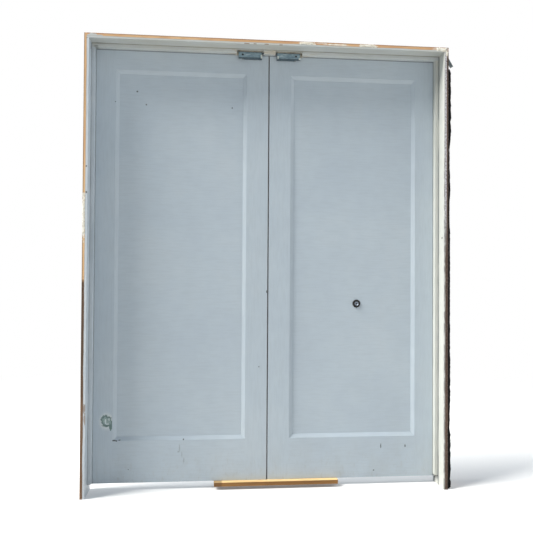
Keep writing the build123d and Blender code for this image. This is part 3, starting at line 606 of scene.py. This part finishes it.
# %% [markdown]
# The right jamb's edge is dark from end to end, darker wood with painted shade, and a black line
# of painted shadow runs along its outer arris. On its upper half a wider, chalky strip of paint
# covers half the edge, and lower down the narrow painted strip is mottled grey with painted shade.

# %% Right jamb
RIGHT_STRIP = 6.4
RIGHT_KNOTS = [(OUTER_X, 0.022, 0.94, 0.014), (OUTER_X, -0.030, 1.70, 0.010)]
CHALK = [(0.38, tone(112, 102, 104)), (0.50, tone(190, 187, 194)), (0.62, tone(222, 222, 228))]


def right_jamb_darkening(finish):
    """Darkest at the front edge, darker wood with painted shade, fading over a few centimetres."""
    front = 0.32 + front_edge(finish, 35, 4) * 0.68
    return front * (0.90 + finish.grain(5.0, 1.2, shift=4) * 0.10)


def painted_edge_shadow(finish, front):
    """1 on the black line of painted shadow along the outer arris, which is thinner in one place."""
    across = finish.x * 1000 + (finish.grain(90.0, 14.0, detail=4.0) - 0.5) * 4.0
    outer = across.step(OUTER_X * 1000 - 3.3, OUTER_X * 1000 - 1.9)
    tall = finish.z.step(1.99, 1.96) * finish.z.step(0.004, 0.012)
    gap = finish.z.step(0.285, 0.30) * finish.z.step(0.395, 0.38)
    return outer * tall * front * (1 - gap * 0.75)


def chalky_strip(finish, coat, paint, front):
    """Widens the coat on the upper half, and breaks its colour up into chalk and grey."""
    chalk = finish.grain(300.0, 110.0, detail=4.0, shift=19)
    depth = (finish.x - INNER_X) * 1000 + (chalk - 0.5) * 9
    wide = depth.step(13.0, 11.6) * finish.z.step(1.05, 1.35) * front
    paint = finish.mix(wide * depth.step(2.0, 4.5), paint, finish.ramp(chalk, CHALK))
    return coat.most(wide), paint


def right_jamb_wear_and_shade(finish, coat, bare, paint):
    front = front_edge(finish, 5)
    # Painted shadow: a black line along the outer arris.
    bare = finish.mix(painted_edge_shadow(finish, front), bare, tone(26, 25, 25))
    places = [(828, 2032, 4, 16), (833, 2056, 8, 10)]
    smear = marks(finish, places, ragged=0.6, grains=70.0) * front
    bare = finish.mix(smear * 0.6, bare, tone(222, 200, 186))
    # Painted shade: the narrow painted strip is mottled grey below about 1.5 m.
    grey_patches = finish.grain(120.0, 26.0, detail=5.0, shift=15).step(0.40, 0.56)
    grey_shade_below = finish.z.step(1.75, 1.45) * grey_patches * front
    paint = finish.mix(grey_shade_below * 0.75, paint, tone(122, 120, 118))
    coat, paint = chalky_strip(finish, coat, paint, front)
    crumbs = finish.grain(420.0, 150.0, detail=3.0, shift=6).step(0.58, 0.66) * front
    bare = finish.mix(crumbs * 0.28, bare, tone(190, 176, 166))
    specks = marks(finish, [(-44, 1174, 7, 4), (48, 27, 8, 10)], plane="yz", ragged=0.6)
    paint = finish.mix(specks * 0.85, paint, SOOT)
    return coat, bare, paint


# The right jamb gets the warm copy of the frame paint: painted sunlight.
right_look = (RIGHT_STRIP, RIGHT_KNOTS, SHADED_DARK_PINE, right_jamb_darkening, right_jamb_wear_and_shade, SUNLIT_FRAME_PAINT)
dress(painted_board("right_jamb_timber", "z", behind_jamb, *right_look), "right_jamb")

# %% [markdown]
# The head lies on its side, so its grain runs along X and its depth is measured upwards. Its bare
# edge has dabs of plaster and reddish streaks, its lower arris is chipped over the catches, and
# warm dust with painted bounce light dulls the face that looks down.

# %% Head
HEAD_STRIP = 8.0
HEAD_KNOTS = [(-0.31, 0.020, TOP_Z, 0.014), (0.46, -0.018, TOP_Z, 0.010)]
HEAD_FILLER = [(165, 2061, 40, 7), (452, 2061, 44, 6), (300, 2060, 60, 3)]
HEAD_FILLER += [(232, 2064, 26, 3), (792, 2058, 34, 9)]
HEAD_CHIPS = [(-113, 2049, 12, 3), (-76, 2049, 8, 2.5), (-21, 2049, 11, 3), (44, 2049, 8, 2.5)]
PAINT_DABS = [(-802, 2059, 20, 8), (-770, 2057, 14, 4)]


def above_opening(finish):
    return finish.z - HEAD_Z


def head_age(finish):
    return finish.grain(4.0, 1.0, "x", shift=6).step(0.5, 0.8) * 0.35


def head_wear_and_bounce_light(finish, coat, bare, paint):
    front = front_edge(finish)
    filler = marks(finish, HEAD_FILLER, ragged=0.5, grains=60.0) * front
    bare = finish.mix(filler * 0.8, bare, PLASTER)
    streaks = finish.grain(34.0, 7.0, "x", detail=5.0, shift=14).step(0.46, 0.64) * front
    bare = finish.mix(streaks * 0.45, bare, tone(186, 134, 98))
    dabs = marks(finish, PAINT_DABS, ragged=0.6, grains=90.0) * front
    chips = marks(finish, HEAD_CHIPS, ragged=0.7) * front
    # Warm dust and painted bounce light on the paint that faces down.
    paint = dust_and_bounce_tint(finish, paint, 0.62)
    paint = finish.mix(chips * 0.75, paint, tone(128, 100, 72))
    smudge = marks(finish, [(-783, -5, 24, 5), (-700, -3, 14, 3)], plane="xy", ragged=0.8, soft=0.3)
    paint = finish.mix(smudge * 0.6, paint, tone(92, 94, 92))
    return coat.most(dabs), bare, paint


head_look = (HEAD_STRIP, HEAD_KNOTS, OLD_PINE, head_age, head_wear_and_bounce_light)
dress(painted_board("head_timber", "x", above_opening, *head_look), "head_jamb")

# %% [markdown]
# The stops are slim laths, painted all round with the jambs. Beige dust has settled on the head
# stop round the two catches, and the foot of the right stop is nearly black.

# %% Stops
def stop_paint(name, axis, tones=FRAME_PAINT):
    finish = Finish(name)
    colour, height = paint_coat(finish, axis, shift=5.0, tones=tones)
    colour = grime(finish, colour)
    if axis == "x":
        # The head stop faces down too: warm dust and painted bounce light.
        colour = dust_and_bounce_tint(finish, colour, 0.45)
        near_catch = abs(abs(finish.x) - CATCH_X).step(0.16, 0.05)
        dust = near_catch * finish.grain(60.0, 20.0, "x", detail=5.0, shift=2).step(0.42, 0.62)
        colour = finish.mix(dust * 0.55, colour, tone(186, 170, 142))
        smudge = marks(finish, [(-798, 2036, 10, 5)], ragged=0.7, soft=0.4)
        colour = finish.mix(smudge * 0.5, colour, tone(92, 94, 92))
    else:
        # Nearly black at the foot of the right stop.
        foot = (finish.z + finish.grain(160.0, shift=4) * 0.008).step(0.052, 0.046)
        colour = finish.mix(foot * finish.x.step(0.0, 0.1) * 0.8, colour, SOOT)
    rough = 0.36 + finish.grain(24.0, shift=6) * 0.16
    return finish.surface(colour, rough, height)


dress(stop_paint("left_stop_paint", "z"), "left_stop")
# The right stop gets the warm copy of the frame paint: painted sunlight.
dress(stop_paint("right_stop_paint", "z", SUNLIT_FRAME_PAINT), "right_stop")
dress(stop_paint("head_stop_paint", "x"), *ending("_head_stop"))

# %% [markdown]
# The batten is an offcut of pine. Its top is painted as fresh wood in sunlight and its front as
# golden brown wood in shade, and one end is darker. The dowels in the leaves are plain beech.

# %% Batten and dowels
SUNLIT_BATTEN = [tone(244, 213, 158), tone(224, 182, 124)]
SHADED_BATTEN = [tone(160, 116, 64), tone(116, 79, 41)]
BEECH = [tone(206, 172, 128), tone(182, 144, 100)]


def batten_timber():
    finish = Finish("batten_timber")
    knots = [(0.02, 0.04, 0.020, 0.008), (0.25, 0.06, 0.034, 0.007)]
    low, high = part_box("transport_batten")
    paler_wood, height = timber(finish, *SUNLIT_BATTEN, "x", knots=knots, shift=11.0)
    darker_wood, _ = timber(finish, *SHADED_BATTEN, "x", knots=knots, shift=11.0)
    # Painted light: the top face gets the sunlit tones, the other faces the shaded ones.
    top = finish.z.step(high.z - 1.7 * MM, high.z - 0.5 * MM)
    colour = finish.mix(top, darker_wood, paler_wood)
    end = finish.x.step(low.x + 42 * MM, low.x + 31 * MM)
    wet = finish.grain(30.0, 8.0, "x", detail=4.0, shift=2).step(0.52, 0.72) * 0.4
    colour = finish.mix(end.most(wet) * 0.55, colour, tone(96, 66, 42))
    return finish.surface(colour, 0.80, height, relief=1.6)


def dowel_timber():
    finish = Finish("dowel_timber")
    colour, height = timber(finish, *BEECH, "x", rings=30.0, shift=13.0)
    return finish.surface(colour, 0.72, height)


dress(batten_timber(), "transport_batten")
dress(dowel_timber(), *ending("_dowels"))

# %% [markdown]
# The steel parts differ by what they have been through. Hinges are satin plated, the strap is
# galvanised and weathered, and nails and screws are brighter. One function makes them all from
# two tones, a roughness, how stained they are and how metallic they still look.

# %% Steel
def steel(name, bright, dull, rough, stained, metallic):
    """Steel with fine lines from the rolling mill, cloudy dull patches and a little stain."""
    finish = Finish(name)
    cloud = finish.grain(60.0, detail=4.0, shift=1)
    rolled = finish.grain(1400.0, 30.0, detail=2.0, shift=2)
    colour = finish.mix(cloud.step(0.35, 0.65) * 0.8 + rolled * 0.2, bright, dull)
    spots = finish.grain(210.0, detail=4.0, shift=3).step(0.56, 0.70)
    colour = finish.mix(spots * stained, colour, tone(96, 78, 60))
    roughness = rough + cloud * 0.14 + spots * 0.2
    metal = metallic - spots * (0.5 * stained)
    return finish.surface(colour, roughness, rolled * 0.02 + cloud * 0.05, Metallic=metal)


fasteners = ("_nails", "_brads", "_mounting_screws", "_strike_screws")
STEELS = {
    "hinge_steel": (tone(176, 176, 172), tone(146, 147, 146), 0.30, 0.2, 0.9, "_leaf", "_pin"),
    "hinge_screw_steel": (tone(182, 182, 178), tone(152, 152, 148), 0.32, 0.2, 0.9, "hinge_screws"),
    "plate_steel": (tone(164, 166, 168), tone(138, 140, 142), 0.34, 0.2, 0.9, "_plate", "_plates"),
    "fastener_steel": (tone(160, 160, 158), tone(126, 126, 124), 0.36, 0.3, 0.9, *fasteners),
    "strap_steel": (tone(112, 122, 124), tone(78, 88, 92), 0.45, 0.5, 0.8, "fixing_strap"),
    "adjuster_steel": (tone(52, 54, 56), tone(36, 37, 38), 0.50, 0.2, 0.5, "_adjusters", "bumper_screw"),
    "magnet": (tone(52, 52, 54), tone(38, 38, 40), 0.70, 0.1, 0.1, "_magnets"),
}
for name, (bright, dull, rough, stained, metallic, *tails) in STEELS.items():
    dress(steel(name, bright, dull, rough, stained, metallic), *ending(*tails))

# %% [markdown]
# The two folded catches are dull zinc, with the blue-grey of the sky's reflection painted in.
# They get a finish of their own: painted highlights across the middle of the face, and painted
# shade in the folds and at both ends.

# %% Catches
def catch_steel():
    finish = Finish("catch_steel")
    cloud = finish.grain(120.0, 60.0, "x", detail=4.0, shift=1)
    # Blue-grey tones: zinc with a painted sky reflection.
    colour = finish.mix(cloud.step(0.35, 0.65), tone(136, 160, 172), tone(110, 133, 146))
    # Painted highlights: bright streaks across the middle of the face.
    patchy_marks = finish.grain(260.0, 24.0, "x", detail=4.0, shift=5).step(0.50, 0.66)
    middle_z = catch_low.z * 0.4 + catch_high.z * 0.6
    middle = abs(finish.z - middle_z).step(13 * MM, 4 * MM)
    colour = finish.mix(patchy_marks * middle * 0.75, colour, tone(190, 206, 212))
    # Painted shade: dark bands in the lower and upper folds.
    ragged = finish.grain(200.0, shift=7) * 0.003
    lower = (finish.z + ragged).step(catch_low.z + 10.5 * MM, catch_low.z + 7 * MM)
    upper = finish.z.step(catch_high.z - 10 * MM, catch_high.z - 6 * MM)
    folds_shade = lower.most(upper)
    colour = finish.mix(folds_shade * 0.75, colour, tone(58, 70, 78))
    # Painted shade at both ends of each catch.
    half = (catch_high.x - catch_low.x) / 2
    ends = abs(abs(finish.x) - CATCH_X).step(half - 3.5 * MM, half - 0.5 * MM)
    colour = finish.mix(ends * 0.55, colour, tone(70, 84, 92))
    rough = 0.42 + cloud * 0.14 + folds_shade * 0.2
    return finish.surface(colour, rough, cloud * 0.08, Metallic=0.35)


dress(catch_steel(), *ending("_catch_housing"))

# %% [markdown]
# The bumper is a black rubber ring with a metal cup pressed into it. Rubber is dull and nearly
# black, with grey dust on the parts that face up, which the height within the ring gives.

# %% Bumper
ring_low, ring_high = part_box("bumper_ring")


def bumper_rubber():
    finish = Finish("bumper_rubber")
    pores = finish.grain(900.0, detail=3.0)
    upper = finish.z.step(ring_low.z, ring_high.z)
    dust = finish.grain(320.0, detail=4.0, shift=2).step(0.45, 0.75) * (0.08 + upper * 0.16)
    colour = finish.mix(dust, tone(7, 7, 8), tone(60, 60, 59))
    return finish.surface(colour, 0.74 + dust * 0.2, pores * 0.06)


def bumper_metal():
    finish = Finish("bumper_metal")
    turned = finish.grain(900.0, detail=2.0)
    cloud = finish.grain(120.0, detail=3.0, shift=4)
    colour = finish.mix(cloud, tone(152, 162, 174), tone(118, 128, 140))
    return finish.surface(colour, 0.38 + cloud * 0.16, turned * 0.03, Metallic=0.9)


rubber = bumper_rubber()
dress(rubber, "bumper_ring")
dress(bumper_metal(), "bumper_cup")

# %% [markdown]
# Some things are too thin or too ragged for the solid model, and are added here as meshes. Each
# one rides on the frame or on a leaf, so that it goes along when the doors open. Most of them are
# made like a barrel: rings of points one after another, joined by four-sided faces.

# %% Adding a piece
RIGHTWARD = Vector((1, 0, 0))
UPWARD = Vector((0, 0, 1))
TOWARDS = Vector((0, -1, 0))


def add_piece(name, mesh, material, body="frame"):
    """Puts a mesh in the scene, gives it its finish and makes it ride on a body."""
    mesh.materials.append(material)
    piece = put(name, mesh)
    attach(piece, body)
    print(name, "faces:", len(mesh.polygons))


def as_mesh(name, shape, smooth=True):
    """Turns the shape into a mesh whose faces all look outward."""
    bmesh.ops.recalc_face_normals(shape, faces=shape.faces)
    for face in shape.faces:
        face.smooth = smooth
    mesh = bpy.data.meshes.new(name)
    shape.to_mesh(mesh)
    shape.free()
    return mesh


def swept(name, rings, closed=False, smooth=True):
    """A mesh that joins rings of points in turn; an open run gets a cap at either end."""
    shape = bmesh.new()
    rings = [[shape.verts.new(point) for point in ring] for ring in rings]
    following = rings[1:] + rings[:1] if closed else rings[1:]
    for ring, after in zip(rings, following):
        for index in range(len(ring)):
            beyond = (index + 1) % len(ring)
            shape.faces.new([ring[index], ring[beyond], after[beyond], after[index]])
    if not closed:
        shape.faces.new(rings[0])
        shape.faces.new(list(reversed(rings[-1])))
    return as_mesh(name, shape, smooth)


# %% [markdown]
# A soft lip closes in round the cup, as the rubber does on the real bumper. It is turned like a
# doughnut: a small circle carried round a larger one.

# %% Bumper lip
def lip(name, centre, radius, thick, around=64, section=14):
    """A turned rubber lip that faces the viewer."""
    rings = []
    for step in range(around):
        outward = Matrix.Rotation(2 * pi * step / around, 3, "Y") @ RIGHTWARD
        middle = centre + outward * radius
        ring = []
        for corner in range(section):
            tilt = Matrix.Rotation(2 * pi * corner / section, 3, outward.cross(TOWARDS))
            ring.append(middle + tilt @ outward * thick)
        rings.append(ring)
    return swept(name, rings, closed=True)


lip_centre = (ring_low + ring_high) / 2
lip_centre.y = ring_low.y + 1.5 * MM
lip_mesh = lip("bumper_lip", lip_centre, 10.9 * MM, 1.5 * MM)
add_piece("bumper_lip", lip_mesh, rubber, "right_door")

# %% [markdown]
# When the frame was pulled out of its wall, skims of plaster and filler stayed on the front edges.
# A skim is a fine grid of small squares. Noise decides which squares are there and how thick
# each corner is, and the back of the sheet sits just inside the wood, so no gap shows.

# %% Plaster skims
def plaster_white():
    finish = Finish("plaster_white")
    cloud = finish.grain(70.0, detail=5.0)
    sand = finish.grain(900.0, detail=3.0, shift=3)
    tones = [(0.36, tone(206, 194, 170)), (0.52, PLASTER), (0.7, tone(248, 246, 238))]
    colour = finish.ramp(cloud * 0.6 + sand * 0.4, tones)
    return finish.surface(colour, 0.92, sand * 0.2 + cloud * 0.4)


def skim(name, corner, along, up, length, width, thick, seed, cell=1.6 * MM, sunk=0.3 * MM):
    """A ragged sheet from a corner, `length` along, `width` up and standing `thick` off the wood."""
    outward = along.cross(up).normalized()
    columns = max(2, round(length / cell))
    rows = max(2, round(width / cell))
    shift = Vector((seed * 3.7, seed * 1.3, 0.0))
    sheet = bmesh.new()
    points = {}

    def cover(column, row):
        """How far inside the ragged outline a grid point is; below 0 there is nothing."""
        side = min(column / columns, 1 - column / columns) * length
        end = min(row / rows, 1 - row / rows) * width
        inside = min(side / (length * 0.22), end / (width * 0.30), 1.0)
        place = Vector((column * cell * 60, row * cell * 60, 0.0)) + shift
        return inside + 0.9 * noise.fractal(place, 0.7, 2.0, 4) - 0.35

    def point(column, row, top):
        key = (column, row, top)
        if key not in points:
            place = corner + along * (column * cell) + up * (row * cell)
            lumps = noise.noise(Vector((column * cell * 190, row * cell * 190, 5.0)) + shift)
            full = min(1.0, max(0.0, cover(column, row) * 1.4))
            rise = max(0.06, full * (0.7 + 0.5 * lumps)) * thick
            points[key] = sheet.verts.new(place + outward * (rise if top else -sunk))
        return points[key]

    cells = [(column, row) for column in range(columns) for row in range(rows)]
    there = [place for place in cells if cover(place[0] + 0.5, place[1] + 0.5) > 0]
    for column, row in there:
        corners = [(column, row), (column + 1, row), (column + 1, row + 1), (column, row + 1)]
        sheet.faces.new([point(*place, True) for place in corners])
        sheet.faces.new([point(*place, False) for place in reversed(corners)])
        beyond = [(column, row - 1), (column + 1, row), (column, row + 1), (column - 1, row)]
        for index, neighbour in enumerate(beyond):
            if neighbour not in there:
                first, second = corners[index], corners[(index + 1) % 4]
                rim = [(*second, True), (*first, True), (*first, False), (*second, False)]
                sheet.faces.new([point(*place) for place in rim])
    return as_mesh(name, sheet)


plaster = plaster_white()
SKIMS = {
    "head_skim_left": ((124, 2055), (84, 13), 1.8, 3),
    "head_skim_right": ((408, 2055), (92, 13), 1.6, 5),
    "head_skim_streak": ((236, 2057), (120, 7), 0.7, 8),
    "corner_skim": ((776, 2049), (58, 19), 2.0, 11),
    "left_jamb_skim": ((-838, 1144), (10, 212), 1.6, 14),
    "right_jamb_skim": ((824, 2026), (12, 24), 1.4, 17),
}
for name, ((x, z), (length, width), thick, seed) in SKIMS.items():
    corner = Vector((x * MM, FRONT_Y, z * MM))
    mesh = skim(name, corner, RIGHTWARD, UPWARD, length * MM, width * MM, thick * MM, seed)
    add_piece(name, mesh, plaster)

# %% [markdown]
# A black bead along the outer front corner of the right jamb is a dark piece put where there is
# only shade: painted shadow. It is made of ragged rings, one above the other. A short table says
# how thick it is at each height, since it is thinner in places, and noise roughens every ring.

# %% Sealant bead
# Near-black for the bead of painted shadow.
def shadow_black():
    finish = Finish("shadow_black")
    cloud = finish.grain(90.0, detail=4.0)
    colour = finish.mix(cloud.step(0.50, 0.8) * 0.4, tone(5, 5, 5), tone(24, 21, 19))
    return finish.surface(colour, 0.85, cloud * 0.8, Specular_IOR_Level=0.1)


def bead(name, place, low, high, size_at, seed, step=3.0 * MM, sides=10):
    """A ragged bead round an upright line; size_at gives its half width at a height."""
    rings = []
    count = round((high - low) / step)
    for index in range(count + 1):
        z = low + index * step
        taper = min(1.0, (index + 1) / 3, (count - index + 1) / 6)
        swell = 0.88 + 0.28 * noise.fractal(Vector((seed, 0.0, z * 26)), 0.8, 2.0, 4)
        size = size_at(z) * taper * swell
        ring = []
        for corner in range(sides):
            angle = 2 * pi * corner / sides
            wobble = 1 + 0.22 * noise.noise(Vector((corner * 1.7, seed, z * 120)))
            offset = Matrix.Rotation(angle, 3, "Z") @ Vector((size * wobble, 0.0, 0.0))
            offset.y *= 0.6
            ring.append(place + offset + UPWARD * z)
        rings.append(ring)
    return swept(name, rings)


SHADOW_BEAD_WIDTHS = [(0.00, 10.6), (0.25, 10.0), (0.28, 5.6), (0.36, 5.6), (0.40, 8.8), (0.58, 8.2)]
SHADOW_BEAD_WIDTHS += [(0.70, 6.6), (1.20, 6.6), (1.24, 3.2), (1.35, 3.6), (1.39, 7.2), (1.45, 7.0)]
SHADOW_BEAD_WIDTHS += [(1.50, 3.4), (1.59, 3.2), (1.66, 10.2), (1.97, 9.6)]


def shadow_bead_size(z):
    """Half width at a height, between the places where the bead is thick or thin."""
    for (low, first), (high, last) in zip(SHADOW_BEAD_WIDTHS, SHADOW_BEAD_WIDTHS[1:]):
        if low <= z <= high:
            return (first + (last - first) * (z - low) / (high - low)) * MM
    return SHADOW_BEAD_WIDTHS[-1][1] * MM


BEAD_PLACE = Vector((OUTER_X + 4.6 * MM, FRONT_Y + 5.6 * MM, 0.0))
bead_mesh = bead("shadow_bead", BEAD_PLACE, 0.004, 1.969, shadow_bead_size, 2.0)
add_piece("shadow_bead", bead_mesh, shadow_black())

# %% [markdown]
# Old filler fills the corner between the head and the front of each catch. Its dark grey-brown
# is dirt and painted shade along the top of the catch. It is a lumpy triangle in side view,
# carried across the notch in small steps.

# %% Filler over the catches
def filler_dirt_and_shade():
    finish = Finish("filler_dirt_and_shade")
    cloud = finish.grain(80.0, 30.0, "x", detail=5.0)
    colour = finish.mix(cloud.step(0.3, 0.7), tone(142, 140, 130), tone(108, 102, 90))
    return finish.surface(colour, 0.85, cloud * 0.5)


def fillet_strip(name, low_x, high_x, back_y, top_z, deep, tall, seed, step=2.0 * MM):
    """A three-cornered strip along X under a ceiling, against an upright face."""
    sunk = 0.3 * MM
    count = round((high_x - low_x) / step)
    sections = []
    for index in range(count + 1):
        x = low_x + (high_x - low_x) * index / count
        drop = tall * (0.85 + 0.35 * noise.fractal(Vector((x * 60, seed, 0.0)), 0.8, 2.0, 3))
        reach = deep * (0.85 + 0.30 * noise.noise(Vector((x * 90, 0.0, seed))))
        outline = [(sunk, sunk), (-reach, sunk), (-reach * 0.45, -drop * 0.62), (sunk, -drop)]
        sections.append([(x, back_y + out, top_z + up) for out, up in outline])
    return swept(name, sections, smooth=False)


filler = filler_dirt_and_shade()
for side, seed in (("left", 4.0), ("right", 9.0)):
    name = f"{side}_catch_filler"
    low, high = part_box(f"{side}_catch_housing")
    ends = (low.x - 3 * MM, high.x + 3 * MM)
    mesh = fillet_strip(name, *ends, low.y, HEAD_Z, 7.0 * MM, 6.0 * MM, seed)
    add_piece(name, mesh, filler)

# %% [markdown]
# The folded steel catches have small tabs at their lower corners, where the sheet was bent over.
# Their near-white colour is a painted glint. Each is a thin strip with one bend, built from its
# side view.

# %% Catch tabs
def tab(name, corner, width, length, thick=1.0 * MM):
    """A small bent strip: it runs down from a corner and turns out a little at its foot."""
    line = [(-0.2 * MM, 0.0), (0.0, -length * 0.60), (1.4 * MM, -length * 0.85), (3.0 * MM, -length)]
    half = width / 2
    rows = []
    for out, height in line:
        places = [(-half, out), (half, out), (half, out + thick), (-half, out + thick)]
        middle = corner + UPWARD * height
        rows.append([middle + Vector((side, -ahead, 0.0)) for side, ahead in places])
    return swept(name, rows, smooth=False)


# A painted glint: the tabs' steel is nearly white.
tab_glint_steel = steel("tab_glint_steel", tone(226, 232, 230), tone(196, 204, 202), 0.40, 0.05, 0.2)
TABS = {
    "left_catch_tab": (-catch_low.x - 2.2 * MM, 7.0, 18.0, 20.5),
    "right_catch_inner_tab": (catch_low.x + 4.5 * MM, 7.0, 14.0, 17.0),
    "right_catch_outer_tab": (catch_high.x - 2.0 * MM, 9.0, 10.0, 12.0),
}
for name, (x, width, length, above) in TABS.items():
    corner = Vector((x, catch_low.y, catch_low.z + above * MM))
    add_piece(name, tab(name, corner, width * MM, length * MM), tab_glint_steel)

# %% [markdown]
# The floor is a plain pale sheet. For the light that bounces off it, it is a light grey, as pale
# concrete is, and for the camera it fades to pure white away from the doors, so that only their
# own shadow is left on it. Two surfaces are mixed for that: one that takes light and one that
# glows by itself at a strength of 1.

# %% Floor
def floor_white():
    finish = Finish("floor_white")
    seen = finish.seen_directly()
    far = (finish.x * finish.x + finish.y * finish.y).root().step(1.3, 4.0)
    pale = finish.mix(seen, tone(198, 196, 192), tone(246, 246, 246))
    matt = finish.add("ShaderNodeBsdfDiffuse", sockets={"Color": pale})
    glow = finish.add("ShaderNodeEmission", sockets={"Color": (1, 1, 1, 1), "Strength": 1.0})
    share = seen * (far * 0.88 + 0.12)
    lifted = finish.add("ShaderNodeMixShader", sockets={0: share, 1: matt, 2: glow})
    finish.add("ShaderNodeOutputMaterial", sockets={"Surface": lifted})
    return finish.material


FLOOR_HALF = 30.0
floor_mesh = bpy.data.meshes.new("floor")
corners = [(-1, -1), (1, -1), (1, 1), (-1, 1)]
floor_mesh.from_pydata([(x * FLOOR_HALF, y * FLOOR_HALF, 0) for x, y in corners], [], [(0, 1, 2, 3)])
floor_mesh.materials.append(floor_white())
floor = put("floor", floor_mesh)
print("floor:", 2 * FLOOR_HALF, "m square")

# %% [markdown]
# Three soft lamps stand round the doors. The key is a little warm and comes from the left and
# above, only just in front of the leaves. So it rakes over them: their faces get little of it,
# and the bevels on the right and at the bottom of each panel, which turn towards it, get much
# more. A weak fill rakes from the right for the other bevels, and a lamp behind keeps the hinge
# side readable. All are sun lamps with a wide angle, which light a tall thing evenly.

# %% Light
def soft_sun(name, towards_lamp, strength, angle, colour):
    """A distant soft lamp; `towards_lamp` points from the doors to it."""
    data = bpy.data.lights.new(name, "SUN")
    data.energy = strength
    data.angle = angle
    data.color = colour
    lamp = put(name, data)
    lamp.rotation_mode = "QUATERNION"
    lamp.rotation_quaternion = Vector(towards_lamp).to_track_quat("Z", "Y")


soft_sun("key", (-0.66, -0.17, 0.73), 5.8, 0.45, (1.0, 0.970, 0.915))
soft_sun("fill", (0.90, -0.26, 0.25), 0.55, 0.60, (1.0, 0.99, 0.97))
soft_sun("back", (0.35, 0.80, 0.48), 1.2, 0.80, (1.0, 1.0, 1.0))
print("lamps: key, fill, back")

# %% [markdown]
# The sky lights what the lamps don't reach. It is pale blue, as outdoors, which makes shaded paint
# a little cooler than paint in the light. Where the camera or a mirror looks straight at it, it
# is plain white at a strength of 1, and that is the background of the picture.

# %% Sky
SKY_LIGHT = 0.30
SKY_COLOUR = (0.62, 0.81, 1.0, 1.0)

sky = bpy.data.worlds.new("sky")
bpy.context.scene.world = sky
air = Network(sky)
seen = air.seen_directly()
colour = air.mix(seen, SKY_COLOUR, (1.0, 1.0, 1.0, 1.0))
strength = seen * (1 - SKY_LIGHT) + SKY_LIGHT
background = air.add("ShaderNodeBackground", sockets={"Color": colour, "Strength": strength})
air.add("ShaderNodeOutputWorld", sockets={"Surface": background})
print("sky light:", SKY_LIGHT)
